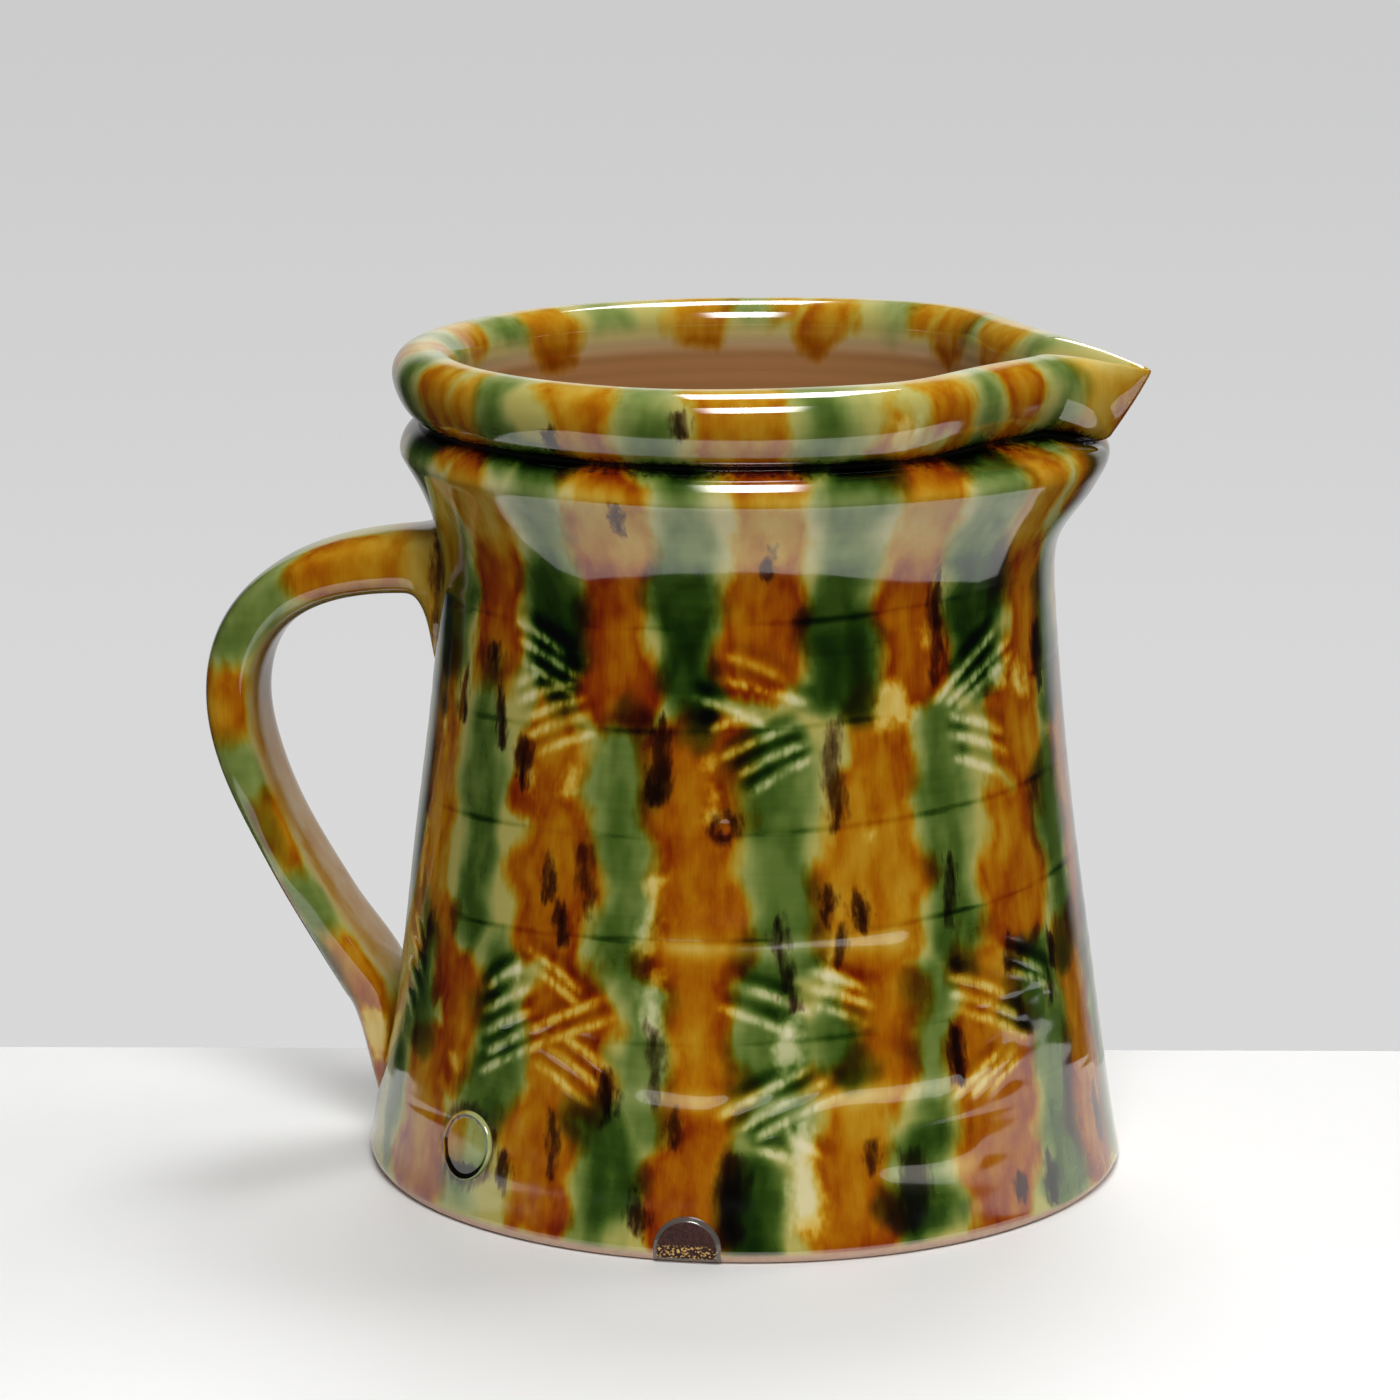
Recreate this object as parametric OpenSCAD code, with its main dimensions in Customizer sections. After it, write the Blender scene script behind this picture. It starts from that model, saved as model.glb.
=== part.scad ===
// Glazed earthenware pouring jug: a thrown body that tapers from a wide foot to a neck,
// a shoulder roll, a groove and a rolled rim drawn out into a pouring lip, and a strap
// handle luted on at the neck and near the foot. Millimetres, +Z up, the table at z = 0,
// the jug's axis on Z, the lip towards +X and the handle towards -X.

/* [Body] */
// Height of the rim's crest above the table
height = 180; // [165:1:195]
// Largest diameter, just above the table
foot_d = 164.8; // [154:0.2:176]
// Diameter of the narrowest place, under the shoulder
neck_d = 132.6; // [124:0.2:138]
// Thickness of the thrown wall
wall_t = 6.5; // [5:0.1:8]
// Thickness of the floor
floor_t = 8; // [6:0.1:11]
// Rounding of the foot's lower edge
foot_round = 2.6; // [1.4:0.1:4]
// Rounding between the floor and the wall inside
floor_round = 14; // [8:0.5:20]

/* [Shoulder and rim] */
// Height from the narrowest place up to the shoulder's widest place
cove_h = 26.5; // [22:0.5:32]
// Diameter of the shoulder roll
shoulder_d = 149; // [145:0.2:154]
// Height from the shoulder's widest place up to the groove
shoulder_h = 6.9; // [5:0.1:9]
// Diameter at the bottom of the groove under the rim
groove_d = 139.6; // [136:0.2:142]
// Width of the groove's bottom
groove_w = 1.4; // [0.8:0.1:2.2]
// Height of the rolled rim above the groove
rim_h = 14.2; // [11:0.1:17]
// Outer diameter of the rolled rim
rim_d = 152.2; // [148:0.2:158]
// Diameter of the mouth inside the rolled rim
mouth_d = 125.2; // [121:0.2:129]

/* [Pouring lip] */
// How far the tip stands out beyond the rolled rim
lip_reach = 11; // [6:0.5:16]
// How far the tip lies below the rim's crest
lip_drop = 4; // [2:0.2:6]
// How far the rim is pinched in on both sides of the lip
lip_pinch = 6; // [3:0.5:8]
// How far the channel's edges rise above the rim's crest
lip_rise = 1.2; // [0.4:0.1:2]
// Half of the angle over which the rim is pinched in and drawn out
lip_half_angle = 60; // [50:1:70]
// Half of the angle of the beak outside
beak_half_angle = 14; // [11:1:18]
// Half of the angle of the channel inside the beak
channel_half_angle = 11; // [9:1:14]

/* [Handle] */
// How far the strap's middle line stands out beyond the neck at the bow
handle_reach = 47.4; // [40:0.2:56]
// Height of the upper join's middle below the narrowest place
upper_join_drop = 0.4; // [0:0.2:4]
// Height of the bow's outermost place below the upper join
bow_drop = 31; // [26:0.5:38]
// Height at which the strap comes down onto the wall
lower_join_z = 36; // [30:0.5:42]
// Height at which the strap's tail fades into the wall
tail_z = 10; // [8:0.5:14]
// Width of the strap
strap_w = 25; // [20:0.5:30]
// Thickness of the strap at the upper join
strap_top_t = 14.5; // [12:0.1:17]
// Thickness of the strap at the bow
strap_bow_t = 11.5; // [9:0.1:13]
// Thickness of the strap where it comes down onto the wall
strap_foot_t = 10.4; // [8:0.1:12]
// Thickness of the strap's tail
tail_t = 5; // [4:0.1:6]

/* [Clay luted round the joins] */
// How far the upper coil runs out along the strap
coil_reach = 9; // [7:0.5:12]
// Thickness of the luted clay where it ends on the strap
coil_edge_t = 0.8; // [0.5:0.1:1.2]
// Spread of the upper coil on the wall to each side of the strap
coil_side = 3.5; // [2:0.5:6]
// Spread of the upper coil on the wall above the strap
coil_up = 2.5; // [1.5:0.5:4]
// Spread of the upper coil on the wall below the strap
coil_down = 17; // [12:0.5:22]
// Spread of the lower coil on the wall to each side of the strap
smear_side = 4; // [2.5:0.5:6]
// Depth of the lower coil between the strap and the wall
smear_depth = 8; // [6:0.5:10]

/* [Seal pad] */
// Diameter of the pad of clay pressed on near the foot
seal_d = 15; // [12:0.5:18]
// Height of the pad's middle
seal_z = 17; // [15:0.5:24]
// Direction of the pad, counted from the lip
seal_angle = -129; // [-150:1:-110]
// How far the pad stands proud of the wall
seal_proud = 1.2; // [0.8:0.1:1.6]
// Width of the pad's raised edge
seal_edge_w = 1.6; // [1:0.1:2.4]
// Depth of the plain dish inside the raised edge
seal_dish = 0.7; // [0.4:0.1:0.8]

/* [Glaze] */
// Thickness of the glaze that lines the inside
lining_t = 0.6; // [0.4:0.1:1]
// Width of the thick drop of glaze at the foot
bead_w = 14.6; // [11:0.2:18]
// Direction of the drop, counted from the lip
bead_angle = -90; // [-105:1:-75]
// How far the drop's ground face stands proud of the foot
bead_proud = 0.3; // [0.1:0.1:0.8]

/* [Hidden] */

// Room left between pieces that were fired together, so that none overlaps
seat_gap = 0.1;
// Overrun of every cut past the surface that it leaves through
overrun = 2;

// Facet counts: steps along a curve of the outline, round a strap, along a strap, over the lip
curve_steps = 7;
wall_steps = 14;
ring_points = 20;
path_steps = 16;
coil_steps = 7;
lip_steps = 36;
$fn = 360;

green_glaze = [0.27, 0.36, 0.16];
amber_glaze = [0.66, 0.40, 0.10];
straw_glaze = [0.72, 0.62, 0.34];
honey_glaze = [0.66, 0.50, 0.32];
dark_glaze = [0.16, 0.08, 0.05];

// Radii and heights that stack up from the sizes above
foot_r = foot_d / 2;
neck_r = neck_d / 2;
shoulder_r = shoulder_d / 2;
groove_r = groove_d / 2;
rim_r = rim_d / 2;
mouth_r = mouth_d / 2;
groove_z = height - rim_h - groove_w;
shoulder_z = groove_z - shoulder_h;
neck_z = shoulder_z - cove_h;
inner_foot_r = foot_r - wall_t;
inner_neck_r = neck_r - wall_t;
tip_r = rim_r + lip_reach;
tip_z = height - lip_drop;

// Places on the outline as shares of the sizes that they lie between
crest_share = 0.44;
rim_widest_share = 0.45;
flare_share = [0.165, 0.075];
lean_share = [0.08, 0.24];
cove_shares = [0.62, 0.25];
roll_shares = [0.55, 0.42];
under_shares = [0.4, 0.06, 0.38];
top_shares = [0.6, 0.65];
lip_in_shares = [0.55, 0.35];
throat_shares = [0.55, 0.4];
crest_r = mouth_r + (rim_r - mouth_r) * crest_share;
rim_widest_z = height - rim_h * (1 - rim_widest_share);
throat_z = height - rim_h * rim_widest_share;
throat_r = (mouth_r + inner_neck_r) / 2;

// Curve helpers
function mix(a, b, share) = a + (b - a) * share;
function curve_at(p, t) =
    pow(1 - t, 3) * p[0] + 3 * t * pow(1 - t, 2) * p[1] + 3 * t * t * (1 - t) * p[2] + pow(t, 3) * p[3];
function curve_slope(p, t) =
    pow(1 - t, 2) * (p[1] - p[0]) + 2 * t * (1 - t) * (p[2] - p[1]) + t * t * (p[3] - p[2]);
function curve(p, steps) = [for (i = [1:steps]) curve_at(p, i / steps)];
function arc(middle, r, from, to, steps) =
    [for (i = [0:steps]) middle + r * [cos(mix(from, to, i / steps)), sin(mix(from, to, i / steps))]];
function grown(points, by) = [for (p = points) [p.x + by, p.y]];

// The wall from the foot to the neck: flared at the foot, then a nearly straight taper
function wall_curve(r_low, r_neck, z_low) = [
    [r_low, z_low],
    [mix(r_low, r_neck, flare_share[0]), mix(z_low, neck_z, lean_share[0])],
    [mix(r_neck, r_low, flare_share[1]), mix(neck_z, z_low, lean_share[1])],
    [r_neck, neck_z]];

foot_edge = arc([foot_r - foot_round, foot_round], foot_round, -90, 0, curve_steps);
cove = [
    [neck_r, neck_z],
    [neck_r, mix(neck_z, shoulder_z, cove_shares[0])],
    [shoulder_r, mix(shoulder_z, neck_z, cove_shares[1])],
    [shoulder_r, shoulder_z]];
shoulder_top = [
    [shoulder_r, shoulder_z],
    [shoulder_r, mix(shoulder_z, groove_z, roll_shares[0])],
    [mix(groove_r, shoulder_r, roll_shares[1]), groove_z],
    [groove_r, groove_z]];
rim_under = [
    [groove_r, groove_z + groove_w],
    [mix(groove_r, rim_r, under_shares[0]), mix(groove_z + groove_w, rim_widest_z, under_shares[1])],
    [rim_r, mix(groove_z + groove_w, rim_widest_z, under_shares[2])],
    [rim_r, rim_widest_z]];
rim_top = [
    [rim_r, rim_widest_z],
    [rim_r, mix(rim_widest_z, height, top_shares[0])],
    [mix(crest_r, rim_r, top_shares[1]), height],
    [crest_r, height]];
rim_inside = [
    [crest_r, height],
    [mix(crest_r, mouth_r, lip_in_shares[0]), height],
    [mouth_r, mix(height, throat_z, lip_in_shares[1])],
    [mouth_r, throat_z]];
throat = [
    [mouth_r, throat_z],
    [mouth_r, mix(throat_z, shoulder_z, throat_shares[0])],
    [throat_r, mix(shoulder_z, throat_z, throat_shares[1])],
    [throat_r, shoulder_z]];
inner_cove = [
    [throat_r, shoulder_z],
    [throat_r, mix(shoulder_z, neck_z, throat_shares[0])],
    [inner_neck_r, mix(neck_z, shoulder_z, throat_shares[1])],
    [inner_neck_r, neck_z]];

// The section of the rim above the shoulder's widest place, outside and inside. Between the
// crest and the lowest place, each point outside has one that faces it inside.
rim_outside_points = concat([[shoulder_r, shoulder_z]], curve(shoulder_top, curve_steps),
    [[groove_r, groove_z + groove_w]], curve(rim_under, curve_steps), curve(rim_top, curve_steps));
rim_inside_points = concat(curve(rim_inside, curve_steps), curve(throat, 2 * curve_steps + 1));

// The whole outline of the body, up the outside and down the inside
shoulder_points = curve(cove, wall_steps);
below_shoulder = [for (i = [0:len(shoulder_points) - 2]) shoulder_points[i]];
outside_points = concat(foot_edge, curve(wall_curve(foot_r, neck_r, foot_round), wall_steps),
    below_shoulder, rim_outside_points);
inner_wall = curve(wall_curve(inner_foot_r, inner_neck_r, floor_t), wall_steps);
inner_wall_table = concat([[floor_t, inner_foot_r]], [for (p = inner_wall) [p.y, p.x]]);
corner_r = lookup(floor_t + floor_round, inner_wall_table);
inner_wall_down = [for (i = [len(inner_wall) - 2:-1:0])
    if (inner_wall[i].y > floor_t + floor_round) inner_wall[i]];
floor_corner = arc([corner_r - floor_round, floor_t + floor_round], floor_round, 0, -90, curve_steps);
lined_points = concat([[throat_r, shoulder_z]], curve(inner_cove, curve_steps), inner_wall_down,
    floor_corner, [[0, floor_t]]);

// Radius and lean of the outer wall at a height
wall_table = [for (p = outside_points) [p.y, p.x]];
function wall_r(z) = lookup(z, wall_table);
function wall_lean(z, span) = atan2(wall_r(z - span / 2) - wall_r(z + span / 2), span);

// Everything inside the outer wall, for trimming what is luted on
module wall_solid(by) {
    rotate_extrude()
        polygon(concat([[0, -overrun], [outside_points[0].x + by, -overrun]], grown(outside_points, by),
            [[0, height]]));
}

// Wedge in which the rim is drawn out into the lip
module lip_wedge() {
    far_x = max(rim_r, shoulder_r) + overrun;
    far_y = far_x * tan(lip_half_angle);
    translate([0, 0, shoulder_z])
        linear_extrude(height - shoulder_z + overrun)
            polygon([[0, 0], [far_x, -far_y], [far_x, far_y]]);
}

// Body as it is thrown: floor, tapering wall, neck, shoulder roll, groove and rolled rim
module thrown_body() {
    color(green_glaze)
        difference() {
            rotate_extrude()
                polygon(concat([[0, 0]], outside_points, rim_inside_points, lined_points));
            lip_wedge();
        }
}

// Triangles over a ring whose two halves face each other, from its ends to its fold
function cap_faces(count, first) = [for (i = [0:floor((count - 1) / 2) - 1])
    let (across = count - 1 - i, next = across - 1)
    each i + 1 == next ? [[first + i, first + i + 1, first + across]]
        : [[first + i, first + i + 1, first + next], [first + i, first + next, first + across]]];
function turned(faces) = [for (f = faces) [f[2], f[1], f[0]]];

// Solid through a row of rings that all have the same number of points
module loft(rings) {
    count = len(rings[0]);
    last = len(rings) - 1;
    sides = [for (i = [0:last - 1], j = [0:count - 1])
        let (k = (j + 1) % count)
        each [[i * count + j, (i + 1) * count + j, (i + 1) * count + k],
            [i * count + j, (i + 1) * count + k, i * count + k]]];
    caps = concat(cap_faces(count, 0), turned(cap_faces(count, last * count)));
    polyhedron([for (ring = rings) each ring], concat(sides, caps), convexity = 8);
}

// The lip's middle section: the shoulder and the groove, which sag under the beak, the beak's underside
// and keel, and the channel that the liquid runs in
sag_share = 0.72;
beak_groove_share = 0.6;
keel_foot_shares = [0.68, 0.2];
beak_under_shares = [0.5, 0.9, 0.35];
channel_shares = [0.21, 0.03, 0.84, 0.3];
tip = [tip_r, tip_z];
beak_groove_r = mix(groove_r, shoulder_r, beak_groove_share);
beak_groove_z = mix(groove_z, shoulder_z, sag_share);
beak_under_z = beak_groove_z + groove_w;
keel_foot = [mix(groove_r, tip_r, keel_foot_shares[0]), mix(beak_under_z, tip_z, keel_foot_shares[1])];
beak_shoulder = [
    [shoulder_r, shoulder_z],
    [shoulder_r, mix(shoulder_z, beak_groove_z, roll_shares[0])],
    [mix(beak_groove_r, shoulder_r, roll_shares[1]), beak_groove_z],
    [beak_groove_r, beak_groove_z]];
beak_under = [
    [beak_groove_r, beak_under_z],
    [mix(beak_groove_r, keel_foot.x, beak_under_shares[0]), beak_under_z],
    [mix(beak_groove_r, keel_foot.x, beak_under_shares[1]), mix(beak_under_z, keel_foot.y, beak_under_shares[2])],
    keel_foot];
beak_points = concat([[shoulder_r, shoulder_z]], curve(beak_shoulder, curve_steps),
    [[beak_groove_r, beak_under_z]], curve(beak_under, curve_steps),
    [for (i = [1:curve_steps]) mix(keel_foot, tip, i / curve_steps)]);
channel = [
    tip,
    [mix(tip_r, throat_r, channel_shares[0]), mix(tip_z, shoulder_z, channel_shares[1])],
    [mix(tip_r, throat_r, channel_shares[2]), mix(tip_z, shoulder_z, channel_shares[3])],
    [throat_r, shoulder_z]];
beak_power = 1.2;
channel_power = 1.5;
rise_half_angle = 2 * beak_half_angle;
function beak_draw(angle) = pow(max(0, 1 - abs(angle) / beak_half_angle), beak_power);
function channel_draw(angle) = pow(max(0, 1 - abs(angle) / channel_half_angle), channel_power);
function pinch(angle) = lip_pinch * pow(sin(180 * angle / lip_half_angle), 2);
function rise(angle) = lip_rise * pow(max(0, cos(90 * angle / rise_half_angle)), 2);

// A point of the rim's section, pinched in above the groove and lifted towards the crest
function pinched(p, angle) =
    let (
        above_shoulder = min(1, (p.y - shoulder_z) / (groove_z - shoulder_z)),
        near_crest = (p.y - shoulder_z) / (height - shoulder_z))
    [p.x - pinch(angle) * above_shoulder,
        p.y + (abs(angle) < rise_half_angle ? rise(angle) * near_crest : 0)];

// Section of the lip at an angle: the rim's own section, pinched, then drawn towards the beak and
// channel. The draw passes from the beak's to the channel's over the rounded top of the rim.
function lip_section(angle) =
    let (
        outside_last = len(rim_outside_points) - 1,
        inside_last = len(rim_inside_points) - 1,
        top_first = outside_last - curve_steps,
        outside = [for (i = [0:outside_last])
            let (side = max(0, i - top_first) / curve_steps)
            mix(pinched(rim_outside_points[i], angle), beak_points[i],
                mix(beak_draw(angle), channel_draw(angle), side))],
        inside = [for (i = [0:inside_last])
            mix(pinched(rim_inside_points[i], angle), curve_at(channel, (i + 1) / (inside_last + 1)),
                channel_draw(angle))])
    concat(outside, inside);

// Lip drawn from the rim's own clay: the rim pinched in on both sides, and a beak between them.
// Its sections crowd together towards the tip.
lip_crowding = 1.7;
module pouring_lip() {
    color(straw_glaze)
        loft([for (i = [0:lip_steps])
            let (
                u = 1 - 2 * i / lip_steps,
                angle = lip_half_angle * sign(u) * pow(abs(u), lip_crowding))
            [for (p = lip_section(angle)) [p.x * cos(angle), p.x * sin(angle), p.y]]]);
}

// The strap's middle line, distance from the axis and height: out and over to the bow,
// down to the wall, then a tail that fades into the wall
join_z = neck_z - upper_join_drop;
bow_r = neck_r + handle_reach;
bow_z = join_z - bow_drop;
landing_share = 0.66;
landing_r = wall_r(lower_join_z) + strap_foot_t * landing_share;
out_shares = [0.6, 0.07, 0.775];
down_shares = [0.31, 0.636, 0.72];
tail_shares = [0.2, 0.62, 0.55];
bow_curve = [
    [inner_neck_r, join_z],
    [mix(inner_neck_r, bow_r, out_shares[0]), join_z + bow_drop * out_shares[1]],
    [bow_r, bow_z + bow_drop * out_shares[2]],
    [bow_r, bow_z]];
down_curve = [
    [bow_r, bow_z],
    [bow_r, mix(bow_z, lower_join_z, down_shares[0])],
    [mix(bow_r, landing_r, down_shares[1]), mix(bow_z, lower_join_z, down_shares[2])],
    [landing_r, lower_join_z]];
tail_r = wall_r(tail_z) - tail_t * tail_shares[2];
landing_slope = (down_curve[2].x - landing_r) / (down_curve[2].y - lower_join_z);
landing_step = (lower_join_z - tail_z) * tail_shares[0];
tail_curve = [
    [landing_r, lower_join_z],
    [landing_r - landing_step * landing_slope, lower_join_z - landing_step],
    [wall_r(tail_z), mix(lower_join_z, tail_z, tail_shares[1])],
    [tail_r, tail_z]];
strap_thickness = [[0, strap_top_t], [1, strap_bow_t], [2, strap_foot_t], [3, tail_t]];
oval_power = 3;

// Oval with flat sides: a width, and how far it reaches to each side of its middle line
function sign_pow(value, power) = sign(value) * pow(abs(value), power);
function oval(w, above, below) = [for (j = [0:ring_points - 1])
    let (angle = 360 * j / ring_points, side = sign_pow(sin(angle), 2 / oval_power))
    [w / 2 * sign_pow(cos(angle), 2 / oval_power), side * (side > 0 ? above : below)]];

// Ring of the strap at a place counted in curves along the middle line, 0 to 3
function strap_ring(place, by) =
    let (
        pick = min(2, floor(place)),
        line = [bow_curve, down_curve, tail_curve][pick],
        middle = curve_at(line, place - pick),
        slope = curve_slope(line, place - pick),
        out = [-slope.y, slope.x] / norm(slope),
        half = lookup(place, strap_thickness) / 2 + by)
    [for (q = oval(strap_w + 2 * by, half, half))
        [-middle.x - out.x * q.y, q.x, middle.y + out.y * q.y]];

// The whole strap, or a stretch of it, grown all round by a clearance
module strap(first, last, steps, by) {
    loft([for (i = [0:steps]) strap_ring(mix(first, last, i / steps), by)]);
}

// Pulled strap handle, cut where it is pressed against the wall
module handle() {
    color(amber_glaze)
        difference() {
            strap(0, 3, 3 * path_steps, 0);
            wall_solid(seat_gap);
        }
}

// Solid through a row of rings, each a closed outline outside and one inside it
module sleeve(outer_rings, inner_rings) {
    last = len(outer_rings) - 1;
    count = len(outer_rings[0]);
    walls = concat(outer_rings, [for (i = [last:-1:0]) inner_rings[i]]);
    rounds = len(walls);
    faces = [for (i = [0:rounds - 1], j = [0:count - 1])
        let (n = (i + 1) % rounds, k = (j + 1) % count)
        each [[i * count + j, n * count + j, n * count + k], [i * count + j, n * count + k, i * count + k]]];
    polyhedron([for (ring = walls) each ring], faces, convexity = 8);
}

// Place on the first curve of the middle line that lies a distance from the axis
function place_at(r, low = 0, high = 1, tries = 20) =
    let (middle = (low + high) / 2)
    tries == 0 ? middle
        : curve_at(bow_curve, middle).x < r ? place_at(r, middle, high, tries - 1)
        : place_at(r, low, middle, tries - 1);

// Clay luted round the strap's upper end and dragged down the wall below it
coil_power = 3;
coil_first = place_at(wall_r(join_z) - wall_t / 2);
coil_last = place_at(wall_r(join_z) + coil_reach);
function coil_ring(place) =
    let (
        middle = curve_at(bow_curve, place),
        half = lookup(place, strap_thickness) / 2 + seat_gap + coil_edge_t,
        away = max(0, middle.x - wall_r(join_z)) / coil_reach,
        spread = pow(max(0, 1 - away), coil_power),
        w = strap_w + 2 * (seat_gap + coil_edge_t + coil_side * spread))
    [for (q = oval(w, half + coil_up * spread, half + coil_down * spread))
        [-middle.x, q.x, middle.y + q.y]];
module upper_join_coil() {
    places = [for (i = [0:coil_steps]) mix(coil_first, coil_last, i / coil_steps)];
    color(amber_glaze)
        difference() {
            sleeve([for (place = places) coil_ring(place)], [for (place = places) strap_ring(place, seat_gap)]);
            wall_solid(seat_gap);
        }
}

// Clay luted into the crotch under the strap's lower end and smeared along both sides of the tail:
// at each place a crescent between the strap's inner half and a wider, deeper oval
smear_first_share = 1.88;
smear_last_share = 2.62;
function inner_half(ring) = [for (j = [ring_points / 2:ring_points]) ring[j % ring_points]];
function smear_ring(place) =
    let (
        pick = floor(place),
        line = [bow_curve, down_curve, tail_curve][pick],
        middle = curve_at(line, place - pick),
        slope = curve_slope(line, place - pick),
        out = [-slope.y, slope.x] / norm(slope),
        half = lookup(place, strap_thickness) / 2 + seat_gap,
        flared = [for (q = oval(strap_w, half + smear_depth, half + smear_depth))
            let (deep = abs(q.y) / (half + smear_depth))
            [-middle.x - out.x * q.y, q.x + sign(q.x) * (seat_gap + coil_edge_t + smear_side * deep),
                middle.y + out.y * q.y]],
        under = inner_half(flared))
    concat(inner_half(strap_ring(place, seat_gap)), [for (j = [len(under) - 1:-1:0]) under[j]]);
module lower_join_coil() {
    color(amber_glaze)
        difference() {
            loft([for (i = [0:coil_steps]) smear_ring(mix(smear_first_share, smear_last_share, i / coil_steps))]);
            wall_solid(seat_gap);
        }
}

// Turns a piece that is drawn along +Z so that it points straight out of the wall
module out_of_wall(angle, z, lean) {
    rotate([0, 0, angle])
        translate([wall_r(z), 0, z])
            rotate([0, 90 - lean, 0])
                children();
}

// Pad of clay pressed on near the foot, with a raised edge round a plain dish
module seal_pad() {
    dish_d = seal_d - 2 * seal_edge_w;
    color(straw_glaze)
        difference() {
            out_of_wall(seal_angle, seal_z, wall_lean(seal_z, seal_d))
                difference() {
                    translate([0, 0, -wall_t / 2])
                        cylinder(d = seal_d, h = wall_t / 2 + seal_proud);
                    translate([0, 0, seal_proud - seal_dish])
                        cylinder(d1 = dish_d - 2 * seal_dish, d2 = dish_d + 2 * overrun,
                            h = seal_dish + overrun);
                }
            wall_solid(seat_gap);
        }
}

// Thin glaze that lines the inside from the floor up to the throat
module glaze_lining() {
    last = len(lined_points) - 1;
    outer_skin = [for (p = lined_points)
        [max(0, p.x - seat_gap), p.y + seat_gap * (p.y < floor_t + floor_round ? 1 : 0)]];
    inner_skin = [for (i = [last:-1:0])
        let (p = lined_points[i], low = max(0, 1 - (p.y - floor_t) / floor_round))
        [max(0, p.x - seat_gap - lining_t), p.y + (seat_gap + lining_t) * low]];
    color(honey_glaze)
        rotate_extrude()
            polygon(concat(outer_skin, inner_skin));
}

// Thick drop of glaze that ran down to the foot and was ground flat, a half moon
module glaze_bead() {
    face_r = foot_r + bead_proud;
    back_r = neck_r;
    color(dark_glaze)
        rotate([0, 0, bead_angle])
            difference() {
                translate([back_r, 0, foot_round])
                    rotate([0, 90, 0])
                        cylinder(d = bead_w, h = face_r - back_r);
                translate([back_r - overrun, -bead_w, foot_round - bead_w])
                    cube([face_r - back_r + 2 * overrun, 2 * bead_w, bead_w]);
                wall_solid(seat_gap);
            }
}

thrown_body();
pouring_lip();
handle();
upper_join_coil();
lower_join_coil();
seal_pad();
glaze_lining();
glaze_bead();
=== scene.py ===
"""Glazed earthenware pouring jug: the looks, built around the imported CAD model.

The clay forms follow the CAD outline and add what hands, tools and the kiln left on it: throwing
ripples, a turning line, combed strokes with raised burrs, and brushed stripes of green and amber glaze
that pool and run. Sizes are in millimetres and degrees; MM turns them into metres when a mesh is made.
Angles are counted round the jug from the pouring lip.
"""
import math

import bpy
import numpy as np
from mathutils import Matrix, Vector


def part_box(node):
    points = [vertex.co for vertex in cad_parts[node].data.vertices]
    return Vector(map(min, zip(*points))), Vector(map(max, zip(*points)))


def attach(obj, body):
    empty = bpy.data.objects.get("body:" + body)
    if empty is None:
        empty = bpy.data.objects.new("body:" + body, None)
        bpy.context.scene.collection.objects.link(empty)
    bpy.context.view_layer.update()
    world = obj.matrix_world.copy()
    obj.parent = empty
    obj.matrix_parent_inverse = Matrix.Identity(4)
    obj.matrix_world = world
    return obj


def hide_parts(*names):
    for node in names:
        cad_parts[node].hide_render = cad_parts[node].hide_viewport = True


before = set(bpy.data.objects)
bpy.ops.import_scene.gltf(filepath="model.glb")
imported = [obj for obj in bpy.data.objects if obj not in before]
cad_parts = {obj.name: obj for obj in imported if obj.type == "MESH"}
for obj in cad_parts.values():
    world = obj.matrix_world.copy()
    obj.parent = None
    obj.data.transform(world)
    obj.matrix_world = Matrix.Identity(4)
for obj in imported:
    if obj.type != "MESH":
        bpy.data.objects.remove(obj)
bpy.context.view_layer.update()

MM = 0.001
rng = np.random.default_rng(7)

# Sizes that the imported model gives. The foot stays a little inside its box.
BOX_MARGIN = 0.02
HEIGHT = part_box("thrown_body")[1].z / MM
FOOT_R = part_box("thrown_body")[1].y / MM - BOX_MARGIN
TIP_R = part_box("pouring_lip")[1].x / MM
SHOULDER_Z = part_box("glaze_lining")[1].z / MM

# Sizes of the outline, nearly as in the CAD source: the groove is lower and the rim's widest place higher
NECK_R = 66.3
SHOULDER_R = 74.5
GROOVE_R = 69.8
RIM_R = 76.1
MOUTH_R = 62.6
WALL_T = 6.5
FLOOR_T = 8.0
FOOT_ROUND = 2.6
FLOOR_ROUND = 14.0
COVE_H = 26.5
SHOULDER_H = 6.2
GROOVE_W = 0.9
RIM_H = 14.2
LIP_DROP = 4.0
LIP_PINCH = 6.0
LIP_RISE = 1.15
NEAR_RISE = 0.66
LIP_HALF_ANGLE = 60.0
BEAK_HALF_ANGLE = 14.0
CHANNEL_HALF_ANGLE = 11.0
SEAT_GAP = 0.1
LINING_T = 0.6

GROOVE_Z = SHOULDER_Z + SHOULDER_H
NECK_Z = SHOULDER_Z - COVE_H
TIP_Z = HEIGHT - LIP_DROP
INNER_FOOT_R = FOOT_R - WALL_T
INNER_NECK_R = NECK_R - WALL_T
THROAT_R = (MOUTH_R + INNER_NECK_R) / 2
CREST_SHARE, WIDEST_SHARE, THROAT_SHARE = 0.44, 0.43, 0.45
CREST_R = MOUTH_R + (RIM_R - MOUTH_R) * CREST_SHARE
RIM_WIDEST_Z = HEIGHT - RIM_H * WIDEST_SHARE
THROAT_Z = HEIGHT - RIM_H * THROAT_SHARE

# How finely the meshes are divided
COLUMNS = 720
COARSER = 4
WALL_STEP = 0.6
FORM_STEP = 0.7
INSIDE_STEP = 2.5
POLE_R = 6
TIP_PASSES = 8

# Depth of a point that lies in no stripe or dab
NOWHERE = -20.0


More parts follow.
